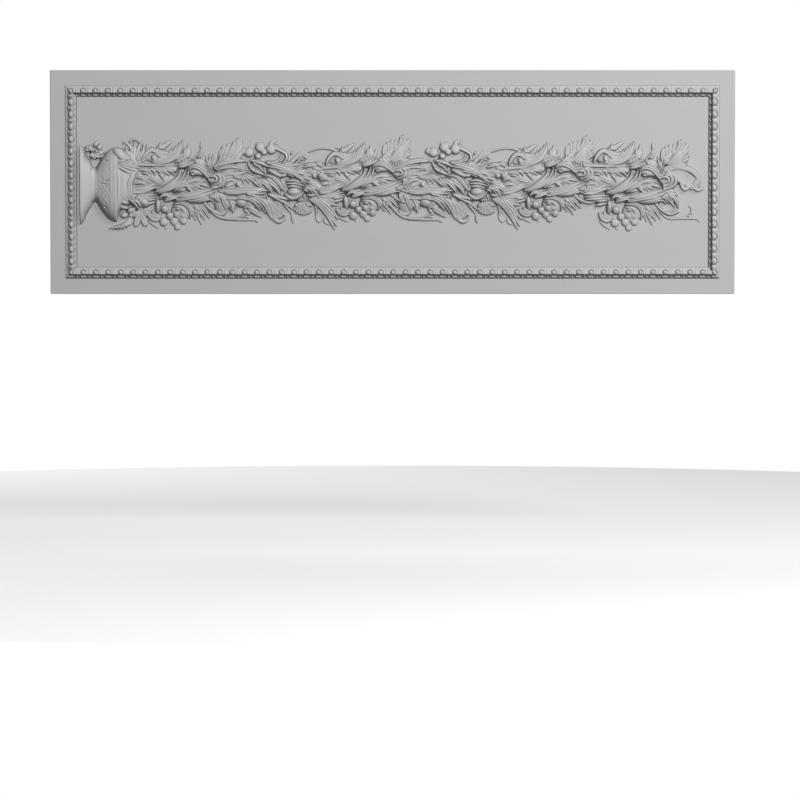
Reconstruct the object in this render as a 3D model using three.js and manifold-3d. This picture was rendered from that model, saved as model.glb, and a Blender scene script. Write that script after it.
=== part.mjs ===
// A carved panel: a flat board with an egg-and-dart border and, on its field, an urn lying on its side
// from which a spray of acanthus, blossoms and berries grows and ends in a ribbon.
// Millimetres, +Z up, +X along the spray. The flat back lies on y = 0 and the carving faces -Y.
// The origin is the centre of the back. Everything is cut in one board, so it is one solid.
import * as THREE from "three";
import { mergeVertices } from "three/addons/utils/BufferGeometryUtils.js";
import Module from "manifold-3d";

// Board
const PANEL_LENGTH = 1200;
const PANEL_HEIGHT = 392;
const BOARD_THICKNESS = 18;

// Border: a low moulding cut into a row of eggs with a dart between each two
const MARGIN = 26;
const BORDER_WIDTH = 20;
const BORDER_PROUD = 3;
const EGG_PITCH = 21.6;
const EGG_CREST = 8;
const EGG_PROUD = 5.5;
const DART_CREST = 3;
const DART_PROUD = 2;

// Carving: it fills the field from foot to ribbon with these gaps to the border
const FOOT_GAP = 6;
const RIBBON_GAP = 15;
const CARVING_RISE = 3.5;
const RELIEF_HEIGHT = 24;
const URN_RELIEF = 26;
const BURIED = 1.2;

// The carving's own grid: it is laid out in squares, 620 of them from foot to ribbon,
// and its heights in steps, 24 of them up to the highest leaf
const SQUARES_ALONG = 620;
const STEPS_UP = 24;
const FIELD_LENGTH = PANEL_LENGTH - 2 * (MARGIN + BORDER_WIDTH);
const SQUARE = (FIELD_LENGTH - FOOT_GAP - RIBBON_GAP) / SQUARES_ALONG;
const STEP = RELIEF_HEIGHT / STEPS_UP;
const FOOT_X = MARGIN + BORDER_WIDTH + FOOT_GAP - PANEL_LENGTH / 2;

// Fineness of the facets
const DOME_SIDES = 6;
const MOST_SEGMENTS = 2;
const ARC_POINTS = 4;
const CURL_POINTS = 6;

// Shapes as shares of the width, height or way along of the leaf, dome, curl or arc they belong to
const TIP_SHARE = 0.08;
const NOTCH_WIDTH = 0.55;
const LOBE_SWEEP = 0.35;
const LOWEST_CREST = 0.72;
const SWELL_START = 0.15;
const SWELL_SPAN = 0.7;
const SHOULDER_OUT = 0.82;
const SHOULDER_UP = 0.72;
const LEAF_BASE = 0.25;
const LEAF_FULLNESS = 0.7;
const LEAF_TAPER = 0.2;
const BLADE_BASE = 0.3;
const BLADE_WIDEST = 0.75;
const BLADE_TIP = 0.45;
const STEM_TAPER = 0.55;
const CURL_REACH = 0.8;
const CURL_BAND = 0.4;
const CURL_DEGREES = 300;
const CURL_CLOSING = 0.45;
const ARC_SPACING = 0.35;
const ARC_BAND = 0.2;

const WOOD = new THREE.MeshStandardMaterial({ color: 0xb1b1b0, roughness: 0.62, metalness: 0 });
const wasm = await Module();
wasm.setup();

// Solids

// A point of the relief: x and z on the board's face, up the height above that face
function onFace(x, z, up) {
  return [x, -BOARD_THICKNESS - up, z];
}

// Closed solid from vertices and triangles, turned so that its faces point outwards
function solid(vertices, triangles) {
  let volume = 0;
  for (const [a, b, c] of triangles) {
    const [p, q, r] = [a, b, c].map((i) => new THREE.Vector3(...vertices[i]));
    volume += p.dot(q.cross(r));
  }
  const faces = volume > 0 ? triangles : triangles.map(([a, b, c]) => [a, c, b]);
  const mesh = new wasm.Mesh({
    numProp: 3,
    vertProperties: new Float32Array(vertices.flat()),
    triVerts: new Uint32Array(faces.flat()),
  });
  return new wasm.Manifold(mesh);
}

// Solid through a row of sections with the same number of points, closed at both ends;
// a closed row joins its last section to its first instead
function loft(sections, closed = false) {
  const count = sections[0].length;
  const rows = sections.length;
  const triangles = [];
  const spans = closed ? rows : rows - 1;
  for (let row = 0; row < spans; row += 1) {
    const here = row * count;
    const next = ((row + 1) % rows) * count;
    for (let i = 0; i < count; i += 1) {
      const j = (i + 1) % count;
      triangles.push([here + i, here + j, next + j], [here + i, next + j, next + i]);
    }
  }
  if (!closed) {
    const last = (rows - 1) * count;
    for (let i = 1; i < count - 1; i += 1) {
      triangles.push([0, i + 1, i], [last, last + i, last + i + 1]);
    }
  }
  return solid(sections.flat(), triangles);
}

// Low dome on an oval, its foot buried in what it stands on
function dome([x, z], halfX, halfZ, turn, foot, up, sides = DOME_SIDES) {
  const rings = [[1, foot], [SHOULDER_OUT, foot + (up - foot) * SHOULDER_UP]];
  const angle = THREE.MathUtils.degToRad(turn);
  const vertices = [];
  for (const [share, height] of rings) {
    for (let i = 0; i < sides; i += 1) {
      const around = ((i + 0.5) / sides) * 2 * Math.PI;
      const a = halfX * share * Math.cos(around);
      const b = halfZ * share * Math.sin(around);
      const alongX = a * Math.cos(angle) - b * Math.sin(angle);
      const alongZ = a * Math.sin(angle) + b * Math.cos(angle);
      vertices.push(onFace(x + alongX, z + alongZ, height));
    }
  }
  vertices.push(onFace(x, z, up));
  const top = 2 * sides;
  const triangles = [];
  for (let i = 0; i < sides; i += 1) {
    const j = (i + 1) % sides;
    triangles.push([i, j, sides + j], [i, sides + j, sides + i], [sides + i, sides + j, top]);
  }
  for (let i = 1; i < sides - 1; i += 1) {
    triangles.push([0, i + 1, i]);
  }
  return solid(vertices, triangles);
}

// Where a bough of the spray is set: its corner in squares, its turn in degrees and a squash of its height
function setting(x, z, turn = 0, squash = 1) {
  const angle = THREE.MathUtils.degToRad(turn);
  const place = ([a, b]) => {
    const c = b * squash;
    const along = x + a * Math.cos(angle) - c * Math.sin(angle);
    const above = z + a * Math.sin(angle) + c * Math.cos(angle);
    return [FOOT_X + along * SQUARE, CARVING_RISE + above * SQUARE];
  };
  return { place, turn };
}

// Half widths of the leaf kinds as shares of the widest, from base (0) to tip (1)
const OUTLINES = {
  leaf: (s) => LEAF_BASE + (1 - LEAF_BASE) * Math.sin(Math.PI * s) ** LEAF_FULLNESS - LEAF_TAPER * s,
  blade: (s) => (s < 1 ? BLADE_BASE + (1 - BLADE_BASE) * Math.min(1, s / BLADE_WIDEST) : BLADE_TIP),
  stem: (s) => 1 - STEM_TAPER * s,
  band: () => 1,
};

// Leaf, stem or band: a ridge that follows a curve, with a buried foot on both sides
function ridge(points, half, up, outline, lobed = 0, most = MOST_SEGMENTS) {
  const curve = new THREE.SplineCurve(points.map(([x, z]) => new THREE.Vector2(x, z)));
  const steps = lobed ? 2 * lobed : Math.min(points.length - 1, most);
  const sections = [];
  for (let i = 0; i <= steps; i += 1) {
    const share = i / steps;
    const at = curve.getPointAt(share);
    const ahead = curve.getTangentAt(share);
    const notch = lobed && i % 2 === 0 ? NOTCH_WIDTH : 1;
    const wide = Math.max(half * OUTLINES[outline](share) * notch, half * TIP_SHARE);
    const swept = lobed && i % 2 === 1 ? half * LOBE_SWEEP : 0;
    const swell = Math.sin(Math.PI * (SWELL_START + SWELL_SPAN * share));
    const height = up * (LOWEST_CREST + (1 - LOWEST_CREST) * swell);
    const [sideX, sideZ] = [-ahead.y * wide, ahead.x * wide];
    const [onX, onZ] = [at.x + ahead.x * swept, at.y + ahead.y * swept];
    sections.push([
      onFace(onX + sideX, onZ + sideZ, -BURIED),
      onFace(at.x, at.y, height),
      onFace(onX - sideX, onZ - sideZ, -BURIED),
    ]);
  }
  return loft(sections);
}

// Points on an arc or a spiral about a middle, angles in degrees, closing in by a share of its radius
function around([x, z], radius, from, to, count, closing = 0) {
  const points = [];
  for (let i = 0; i < count; i += 1) {
    const share = i / (count - 1);
    const angle = THREE.MathUtils.degToRad(from + (to - from) * share);
    const reach = radius * (1 - closing * share);
    points.push([x + reach * Math.cos(angle), z + reach * Math.sin(angle)]);
  }
  return points;
}

// One row of a layout as solids. A row reads: kind, where, half width in squares, height in steps, detail.
// Detail is the lobes of a frond, the other half width and turn of a pod, the start and turns of a curl,
// the span and number of nested arcs, or the span and petals of a fan.
function carve([kind, where, half, steps, detail], { place, turn }) {
  const wide = half * SQUARE;
  const up = steps * STEP;
  const many = Array.isArray(where[0]);
  const points = (many ? where : [where]).map(place);
  if (kind === "frond") {
    return [ridge(points, wide, up, "leaf", detail)];
  }
  if (kind === "pod") {
    const [other, lean] = detail;
    return [dome(points[0], wide, other * SQUARE, lean + turn, -BURIED, up)];
  }
  if (kind === "curl") {
    const [from, turns] = detail;
    const end = from + CURL_DEGREES * turns;
    const spiral = around(points[0], wide * CURL_REACH, from + turn, end + turn, CURL_POINTS, CURL_CLOSING);
    return [ridge(spiral, wide * CURL_BAND, up, "band", 0, spiral.length - 1)];
  }
  if (kind === "arcs") {
    const [from, to, count] = detail;
    const rings = [];
    for (let i = 0; i < count; i += 1) {
      const arc = around(points[0], wide * (1 - ARC_SPACING * i), from + turn, to + turn, ARC_POINTS);
      rings.push(ridge(arc, wide * ARC_BAND, up, "band"));
    }
    return rings;
  }
  if (kind === "fan") {
    const [from, to, count, petal] = detail;
    return around(points[0], wide, from + turn, to + turn, count).map((tip) =>
      ridge([points[0], tip], petal * SQUARE, up, "blade"));
  }
  if (kind === "berry") {
    return [dome(points[0], wide, wide, 0, -BURIED, up)];
  }
  return [ridge(points, wide, up, kind)];
}

function boughSolids(rows, where) {
  return rows.flatMap((row) => carve(row, where));
}

// Layouts. Places are squares from the bough's own corner, along the panel and up.

// Stalk: a scrolled leaf, a trumpet, long blades, a knot, fruit below and a comb of grass
const STALK = [
  ["frond", [[44, 14], [53, 18], [63, 24]], 3.4, 12, 3],
  ["blade", [[17, 18], [28, 19], [41, 25], [49, 33], [53, 41]], 4.6, 15],
  ["leaf", [[26, 30], [33, 30], [38, 34], [44, 40]], 3, 13],
  ["curl", [23.5, 23], 6.2, 17, [20, 1]],
  ["blade", [[6, 13], [26, 13.4], [47, 12]], 3.6, 17],
  ["frond", [[3, -10], [17, -7], [28, -2], [39, 4]], 7, 15, 3],
  ["leaf", [[11, 11], [20, 10], [23.5, 2]], 2.4, 18],
  ["leaf", [[30, 11], [37, 8], [40, 2]], 2.6, 18],
  ["leaf", [[2, -15], [15, -15], [28, -15]], 3, 14],
  ["blade", [[25, -12], [36, -7.5], [46, -1.5], [51, 8]], 3.5, 20],
  ["blade", [[38, -10], [49, -4], [56, 3], [58.5, 11]], 3.5, 20],
  ["blade", [[56, 6], [65, 9.5], [73, 7], [79, -0.5]], 4.6, 22],
  ["leaf", [[42, -11], [52, -5.5], [62, -4], [75, -9.5]], 2.4, 17],
  ["leaf", [[56, -1], [66, -1.5], [76, -4], [84, -9]], 2.6, 18],
  ["blade", [[32, -23], [46, -19.5], [65, -17], [84, -12]], 3.4, 22],
  ["arcs", [82, 0], 8, 16, [-80, 70, 1]],
  ["pod", [28.8, -26], 3.4, 17, [7, -8]],
  ["leaf", [[18, -32], [23, -38.5], [28, -39], [33, -33]], 3, 14],
  ["berry", [38, -35.5], 3.8, 14],
  ["berry", [33.5, -41], 4.4, 13],
  ["berry", [45, -34], 5.4, 13],
  ["leaf", [[41, -26.5], [50, -24], [58, -28], [60, -35], [57, -42]], 3.4, 16],
  ["leaf", [[60, -24], [63, -31], [65, -40]], 1.8, 10],
  ["leaf", [[66, -23], [69, -33], [72, -42]], 2.6, 11],
  ["pod", [79, 13], 6, 10, [5, 20]],
  ["stem", [[73, -21], [80, -29], [89, -33.5], [97, -31]], 1.5, 10],
];

// Crests over the stalk's seed head: one with a bud and grass, one with a single broad acanthus leaf
const BUD_CREST = [
  ["pod", [71.5, 35], 1.6, 8, [4.2, -8]],
  ["stem", [[64, 20], [69, 27], [71, 31]], 1.1, 7],
  ["blade", [[65, 20], [71, 17], [78, 10]], 4.6, 13],
  ["leaf", [[81, 15], [81, 22], [80, 30]], 2.2, 6],
  ["leaf", [[82, 14], [87, 22], [88, 29]], 1.8, 6],
  ["frond", [[83, 11], [93, 20], [102, 30], [109, 41]], 9, 13, 4],
];
const LEAF_CREST = [
  ["frond", [[74, 18], [82, 28], [88, 45]], 10.5, 12, 4],
  ["leaf", [[58, 19], [60, 25], [62, 31]], 2.2, 7],
  ["leaf", [[64, 19], [68, 27], [70, 34]], 2.4, 8],
];

// Bough with a bunch of berries above, an acanthus scroll, a long spine and fringed leaves below
const BERRY_BOUGH = [
  ["berry", [39, 27], 5.4, 12],
  ["berry", [49.5, 32.5], 5, 13],
  ["berry", [54, 28], 4, 11],
  ["berry", [47.5, 23], 4.4, 12],
  ["berry", [63, 30], 5.6, 12],
  ["stem", [[65, 33], [71, 29], [76.5, 25], [75.5, 19], [69, 14.5]], 1.6, 12],
  ["leaf", [[3, 9], [14, 11], [24, 15], [33, 14]], 3.2, 15],
  ["leaf", [[3, 2], [12, 6.5], [25, 8.5], [39, 7.5]], 2.8, 18],
  ["frond", [[4, -4], [16, 2], [30, 5], [44, 6]], 5.4, 15, 3],
  ["leaf", [[15, -10], [23, -8], [26, -2], [20, 0]], 2.4, 18],
  ["leaf", [[36, 5], [43, 1], [45, -4.5]], 2.3, 18],
  ["leaf", [[47, 5], [54, -2], [56, -9]], 2.2, 17],
  ["blade", [[9, -10.5], [22, -12], [38, -11], [58, -11.5]], 3.4, 22],
  ["leaf", [[10, -11], [18, -16], [30, -16.5], [42, -18.5], [54, -19]], 2.6, 16],
  ["frond", [[16, -16], [21, -23], [23.5, -32]], 4.6, 12, 2],
  ["berry", [31, -23], 6.2, 13],
  ["leaf", [[34, -27], [40, -31.5], [46, -34.5], [52, -37]], 2.4, 9],
  ["leaf", [[48, -19], [56, -25], [61.5, -39]], 3.1, 15],
  ["frond", [[54, -16], [62, -24], [71, -33], [76, -39]], 7, 12, 4],
  ["leaf", [[42, 20], [52, 16.5], [65, 10.5], [80, 8.5]], 2.6, 16],
  ["leaf", [[58, 15], [70, 12.5], [85, 7.5], [98, -3]], 2.8, 18],
  ["blade", [[55, 11], [65, 6.5], [75, 1.5]], 3.4, 19],
  ["blade", [[42, 5], [50, 0], [58, -6], [63.5, -10]], 3.7, 19],
  ["blade", [[52, 7], [58, 0], [67, -6], [71, -13]], 3.4, 21],
  ["blade", [[62, 2], [71, -4], [78, -10]], 3.7, 20],
  ["blade", [[74, -7], [84, -13], [95, -10]], 4.6, 19],
  ["stem", [[78, -26], [81.5, -33], [83, -42]], 1.5, 8],
  ["stem", [[-2, -27], [5, -34], [15, -38.5], [30, -39.5], [47, -41.5]], 1.4, 8],
];

// Bough with a clover and a long tendril above, a round calyx, a carnation and a plume below
const FLOWER_BOUGH = [
  ["frond", [[-6, 16], [1, 20], [7, 27]], 3.2, 8, 2],
  ["berry", [15.5, 22], 3, 7],
  ["berry", [13, 17], 3.2, 8],
  ["stem", [[20, 29], [31, 31.5], [43, 30], [51, 23]], 1.4, 6],
  ["pod", [24, 8], 10, 16, [6.5, 0]],
  ["leaf", [[12, 10], [21, 14.5], [30, 14.5], [35, 9]], 2.6, 17],
  ["leaf", [[34, 12], [34, 20], [36, 26]], 1.8, 8],
  ["leaf", [[-4, 6.5], [6, 3], [16, -4]], 2.2, 18],
  ["leaf", [[17, -2], [26, -3], [34, -7]], 2.6, 15],
  ["leaf", [[13, -8], [21, -7.5], [26, -13], [27, -19]], 2.2, 19],
  ["pod", [15, -21], 6.5, 12, [5.5, 0]],
  ["fan", [14, -24], 11, 10, [-165, -40, 5, 2.4]],
  ["blade", [[20, -20], [32, -27.5], [40, -37], [44, -47]], 4.6, 17],
  ["leaf", [[28, -19], [40, -24], [47, -35], [49, -41]], 2.4, 13],
  ["pod", [25.5, -31], 2, 8, [5.5, 8]],
  ["pod", [29.5, -38], 3, 7, [4.5, 0]],
];

// End of the spray: a leaf, a fan, tendrils and a ribbon in a loop with a waving tail
const RIBBON_END = [
  ["frond", [[4, 13], [12, 22], [19, 32], [23, 41]], 9, 12, 4],
  ["band", [[4, 8], [12, 12.5], [22, 13], [31, 9], [38, 2], [36, -4]], 3, 13],
  ["band", [[4, 6], [13, 3], [18, -1], [21, -8], [25, -10.5], [31, -7], [37, -10.5], [41, -9]], 1.9, 11],
  ["arcs", [3, 0], 9, 14, [-85, 60, 1]],
  ["leaf", [[1, -9], [9, -9], [16, -11]], 2.2, 13],
  ["leaf", [[2, -10], [10, -13], [17, -18]], 2.6, 13],
  ["leaf", [[2, -11], [8, -17], [13, -24]], 2.4, 12],
  ["stem", [[-1, -31], [8, -38], [20, -38.5], [38, -41]], 1.4, 8],
  ["stem", [[20, -38], [28, -35], [31, -31], [30, -26]], 1.2, 6],
];

// Flowers and drapery over the urn's mouth, and the sprig by its neck
const URN_DRESS = [
  ["blade", [[55, 14], [54, 28], [55, 40]], 5, 15],
  ["leaf", [[54, 15], [49, 26], [44, 37]], 2.6, 13],
  ["leaf", [[57, 14], [62, 24], [64, 37]], 2.6, 14],
  ["leaf", [[58, 13], [68, 23], [70, 33]], 2.4, 13],
  ["pod", [41, 25], 9, 20, [6.5, -10]],
  ["blade", [[37, 20], [47, 13], [56, 5]], 4.6, 25],
  ["leaf", [[46, 7], [52, 4], [54, -5], [53, -17]], 2.8, 25],
  ["pod", [44, -34], 4.6, 17, [3.6, -20]],
  ["pod", [51, -30], 5.4, 21, [4.6, 30]],
  ["leaf", [[41, -20], [48, -25], [56, -24]], 2.8, 20],
  ["fan", [60, -31], 15, 14, [-150, -35, 5, 3.6]],
  ["berry", [60, -31], 4, 18],
  ["pod", [65, -26], 5.5, 11, [4.5, 0]],
  ["frond", [[50, -36], [40, -43], [28, -49]], 4.4, 8, 2],
  ["leaf", [[13, 26], [15, 32], [18, 39]], 2.2, 13],
  ["leaf", [[14, 26], [19, 31], [23, 34]], 2.2, 13],
  ["leaf", [[14, 25], [19, 27], [24, 28]], 2, 13],
  ["berry", [9, 30], 3.8, 13],
  ["berry", [14, 26], 3.4, 15],
];

// Urn

// Turned outline of the urn: squares from its foot, half width in squares
const URN_OUTLINE = [
  [0, 40], [4, 38], [8, 29], [11.4, 24], [11.8, 20], [16, 16.5], [20, 23], [25, 31], [30, 36],
  [37.5, 37], [38.2, 31], [41, 25], [49, 19], [55, 17], [56.5, 19],
];
const URN_AXIS = -5;
const URN_FACETS = 5;
const FLATTER = 0.45;

// Half of a turned form, flattened into the board: each section is half an oval
function urn() {
  const { place } = setting(0, 0);
  const widest = Math.max(...URN_OUTLINE.map(([, half]) => half));
  const sections = URN_OUTLINE.map(([along, half]) => {
    const [x, z] = place([along, URN_AXIS]);
    const up = URN_RELIEF * (FLATTER + (1 - FLATTER) * (half / widest));
    const section = [];
    for (let i = 0; i <= URN_FACETS; i += 1) {
      const angle = (i / URN_FACETS) * Math.PI;
      section.push(onFace(x, z + half * SQUARE * Math.cos(angle), (up + BURIED) * Math.sin(angle) - BURIED));
    }
    return section;
  });
  return loft(sections);
}

// Board and border

function board() {
  const slab = new THREE.BoxGeometry(PANEL_LENGTH, BOARD_THICKNESS, PANEL_HEIGHT);
  slab.translate(0, -BOARD_THICKNESS / 2, 0);
  slab.deleteAttribute("normal");
  slab.deleteAttribute("uv");
  const merged = mergeVertices(slab);
  const mesh = new wasm.Mesh({
    numProp: 3,
    vertProperties: new Float32Array(merged.attributes.position.array),
    triVerts: new Uint32Array(merged.index.array),
  });
  return new wasm.Manifold(mesh);
}

// Where the eggs and darts stand on a straight run of the border, from its start to its end
function beat(run) {
  const count = Math.round(run / EGG_PITCH);
  return Array.from({ length: 2 * count }, (_, i) => (i * run) / (2 * count));
}

// Border: one closed moulding with mitred corners, its crest high and wide at each egg, low at each dart
function eggAndDart() {
  const inset = MARGIN + BORDER_WIDTH / 2;
  const [halfRun, halfRise] = [PANEL_LENGTH / 2 - inset, PANEL_HEIGHT / 2 - inset];
  const sides = [[-1, -1, 1, 0], [1, -1, 0, 1], [1, 1, -1, 0], [-1, 1, 0, -1]];
  const sections = sides.flatMap(([startX, startZ, stepX, stepZ]) => {
    const run = stepX ? 2 * halfRun : 2 * halfRise;
    return beat(run).map((along, i) => {
      const egg = i % 2 === 0;
      const [crest, up] = egg ? [EGG_CREST, EGG_PROUD] : [DART_CREST, DART_PROUD];
      const profile = [
        [-BORDER_WIDTH / 2, -BURIED],
        [-BORDER_WIDTH / 2, BORDER_PROUD],
        [-crest / 2, BORDER_PROUD + up],
        [crest / 2, BORDER_PROUD + up],
        [BORDER_WIDTH / 2, BORDER_PROUD],
        [BORDER_WIDTH / 2, -BURIED],
      ];
      const [inX, inZ] = i === 0 ? [-startX, -startZ] : [-stepZ, stepX];
      return profile.map(([across, height]) => onFace(
        startX * halfRun + stepX * along + inX * across,
        startZ * halfRise + stepZ * along + inZ * across,
        height,
      ));
    });
  });
  return loft(sections, true);
}

// The whole spray: stalks and boughs follow each other, and repeat along the panel
function spray() {
  const stalks = [setting(50, 0), setting(235.5, -2.5, 6, 0.88), setting(418, -3, 6, 0.88), setting(501, -1)];
  const solids = stalks.flatMap((where) => boughSolids(STALK, where));
  solids.push(...boughSolids(BUD_CREST, setting(50, 0)));
  solids.push(...boughSolids(LEAF_CREST, setting(235, 0)));
  solids.push(...boughSolids(LEAF_CREST, setting(417.5, -1)));
  for (const x of [130, 314]) {
    solids.push(...boughSolids(BERRY_BOUGH, setting(x, 0)));
  }
  for (const x of [210, 393]) {
    solids.push(...boughSolids(FLOWER_BOUGH, setting(x, 0)));
  }
  solids.push(...boughSolids(RIBBON_END, setting(580, 0)));
  return solids;
}

// Mesh of the joined solid
function meshOf(manifold, name) {
  const { vertProperties, triVerts } = manifold.getMesh();
  const geometry = new THREE.BufferGeometry();
  geometry.setAttribute("position", new THREE.BufferAttribute(new Float32Array(vertProperties), 3));
  geometry.setIndex(new THREE.BufferAttribute(new Uint32Array(triVerts), 1));
  const mesh = new THREE.Mesh(geometry, WOOD);
  mesh.name = name;
  return mesh;
}

const carvedPanel = [eggAndDart(), urn(), ...boughSolids(URN_DRESS, setting(0, 0)), ...spray()]
  .reduce((whole, next) => whole.add(next), board());

const panel = new THREE.Group();
panel.add(meshOf(carvedPanel, "carved_panel"));

export default panel;
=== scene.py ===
# %% [markdown]
# # A carved panel
#
# A long board is carved in relief: an egg-and-dart border runs round it, and on the field an urn lies on its
# side. From its mouth grows a spray of acanthus, blossoms and berries that ends in a ribbon.
# A real panel is cut from one board and primed in a flat grey, so every piece below is one
# part of the same surface. They are separate meshes only because one mesh of this fineness is too heavy.

# %% Load the frame
import math

import bpy
import numpy as np
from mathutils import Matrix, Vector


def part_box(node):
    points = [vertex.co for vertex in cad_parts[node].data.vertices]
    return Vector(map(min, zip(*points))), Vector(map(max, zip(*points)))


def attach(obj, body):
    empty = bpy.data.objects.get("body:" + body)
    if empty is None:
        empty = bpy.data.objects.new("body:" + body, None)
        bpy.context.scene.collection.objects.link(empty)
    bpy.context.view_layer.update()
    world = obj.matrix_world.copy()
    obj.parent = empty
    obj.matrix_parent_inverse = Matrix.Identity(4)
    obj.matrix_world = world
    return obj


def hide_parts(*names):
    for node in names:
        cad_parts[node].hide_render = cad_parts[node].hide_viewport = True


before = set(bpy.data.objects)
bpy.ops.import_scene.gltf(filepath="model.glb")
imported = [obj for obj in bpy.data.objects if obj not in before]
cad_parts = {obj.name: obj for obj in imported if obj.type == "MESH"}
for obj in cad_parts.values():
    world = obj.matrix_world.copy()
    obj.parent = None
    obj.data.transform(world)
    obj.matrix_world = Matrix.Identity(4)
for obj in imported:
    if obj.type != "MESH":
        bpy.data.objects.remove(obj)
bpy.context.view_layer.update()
low, high = (np.array(corner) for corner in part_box("carved_panel"))
print("CAD box in metres:", low.round(4), high.round(4))

# %% [markdown]
# ## Sizes
#
# The panel's length, height and back come from the frame. The rest are the carver's own sizes in millimetres.
# The carving is laid out on a grid of squares, 620 of them from the urn's foot to the ribbon,
# and its heights are counted in steps, 24 of them up to the highest leaf. A grid like this is how a carver
# carries a drawing over to a board of any size.

# %% Sizes and the carver's grid
MM = 0.001
PANEL_LENGTH = (high[0] - low[0]) / MM
PANEL_HEIGHT = (high[2] - low[2]) / MM
BOARD_THICKNESS = 18.0
MARGIN = 26.0
BORDER_WIDTH = 20.0
FOOT_GAP = 6.0
RIBBON_GAP = 15.0
CARVING_RISE = 3.5
RELIEF_HEIGHT = 20.0
URN_RELIEF = 24.0
BURIED = 1.2
SQUARES_ALONG = 620
STEPS_UP = 24
FIELD_LENGTH = PANEL_LENGTH - 2 * (MARGIN + BORDER_WIDTH)
SQUARE = (FIELD_LENGTH - FOOT_GAP - RIBBON_GAP) / SQUARES_ALONG
STEP = RELIEF_HEIGHT / STEPS_UP
FOOT_X = MARGIN + BORDER_WIDTH + FOOT_GAP - PANEL_LENGTH / 2
print(f"one square is {SQUARE:.3f} mm, one step {STEP:.3f} mm")

# %% [markdown]
# ## Camera, light and stage
#
# The picture is 800 by 800 with the panel in its upper part, seen straight on. A long lens far away keeps its
# edges parallel. The camera stands on the line through the panel's middle and turns down a little, so that
# the middle lands at its place in the picture. The light comes from the upper right in front, near
# enough that the right end of the panel is a little brighter than the left.

# %% Camera
PICTURE = 800
PANEL_PIXELS = 684
MIDDLE_PIXEL = (392.6, 182.1)
LENS = 200.0
SENSOR = 36.0
FARTHEST = 100
focal_pixels = LENS / SENSOR * PICTURE
distance = focal_pixels * PANEL_LENGTH * MM / PANEL_PIXELS
yaw = math.atan((MIDDLE_PIXEL[0] - PICTURE / 2) / focal_pixels)
pitch = math.atan((PICTURE / 2 - MIDDLE_PIXEL[1]) / focal_pixels)
camera_data = bpy.data.cameras.new("camera")
camera_data.lens = LENS
camera_data.sensor_width = SENSOR
camera_data.clip_end = FARTHEST
camera = bpy.data.objects.new("camera", camera_data)
camera.location = (0, -distance - BOARD_THICKNESS * MM, 0)
camera.rotation_euler = (math.pi / 2 - pitch, 0, yaw)
bpy.context.collection.objects.link(camera)
bpy.context.scene.camera = camera
bpy.context.scene.view_settings.view_transform = "Standard"
print(f"camera {distance:.2f} m away, turned down {math.degrees(pitch):.2f} degrees")


# %% Lights
def area_light(name, place, size, power, shadow=True):
    """Square light at a place, turned so that it shines at the panel's middle"""
    data = bpy.data.lights.new(name, "AREA")
    data.use_shadow = shadow
    data.size = size
    data.energy = power
    light = bpy.data.objects.new(name, data)
    light.location = place
    aim = -np.array(place, float)
    flat = math.hypot(aim[0], aim[1])
    light.rotation_euler = (math.atan2(flat, -aim[2]), 0, math.atan2(aim[1], aim[0]) - math.pi / 2)
    bpy.context.collection.objects.link(light)


KEY_PLACE = (3.1, -4.2, 3.2)
BACK_PLACE = (-1.5, 3.0, 1.5)
KEY_SIZE = 0.6
SOFT_SIZE = 2.0
KEY_POWER = 350
SHADOW_POWER = 110
BACK_POWER = 60
area_light("key_light", KEY_PLACE, KEY_SIZE, KEY_POWER, shadow=False)
area_light("shadow_light", KEY_PLACE, SOFT_SIZE, SHADOW_POWER)
area_light("back_light", BACK_PLACE, SOFT_SIZE, BACK_POWER)
print("lights are set")


# %% World and floor
AMBIENT = 0.16
WHITE = (1, 1, 1, 1)
DAYLIGHT = (0.97, 0.98, 1, 1)
world = bpy.data.worlds.new("studio")
bpy.context.scene.world = world
world.use_nodes = True
tree = world.node_tree
tree.nodes.clear()
seen = tree.nodes.new("ShaderNodeBackground")
seen.inputs["Color"].default_value = WHITE
lit = tree.nodes.new("ShaderNodeBackground")
lit.inputs["Color"].default_value = DAYLIGHT
lit.inputs["Strength"].default_value = AMBIENT
path = tree.nodes.new("ShaderNodeLightPath")
mix = tree.nodes.new("ShaderNodeMixShader")
out = tree.nodes.new("ShaderNodeOutputWorld")
tree.links.new(path.outputs["Is Camera Ray"], mix.inputs["Fac"])
tree.links.new(lit.outputs["Background"], mix.inputs[1])
tree.links.new(seen.outputs["Background"], mix.inputs[2])
tree.links.new(mix.outputs["Shader"], out.inputs["Surface"])

FLOOR_Z = -0.62
FLOOR_RADIUS = 1.9
FLOOR_SIDES = 96
FLOOR_COLOUR = (0.85, 0.85, 0.85, 1)
FLOOR_ROUGHNESS = 0.9
angles = np.linspace(0, 2 * np.pi, FLOOR_SIDES, endpoint=False)
floor_height = np.full(FLOOR_SIDES, FLOOR_Z)
disc = np.stack([FLOOR_RADIUS * np.cos(angles), FLOOR_RADIUS * np.sin(angles), floor_height], 1)
floor_mesh = bpy.data.meshes.new("floor")
floor_mesh.from_pydata(disc.tolist(), [], [list(range(FLOOR_SIDES))])
floor = bpy.data.objects.new("floor", floor_mesh)
bpy.context.collection.objects.link(floor)
pale = bpy.data.materials.new("pale_floor")
pale.use_nodes = True
pale_shader = pale.node_tree.nodes["Principled BSDF"]
pale_shader.inputs["Base Color"].default_value = FLOOR_COLOUR
pale_shader.inputs["Roughness"].default_value = FLOOR_ROUGHNESS
floor_mesh.materials.append(pale)
floor.visible_diffuse = False
print("stage is set")

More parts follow.
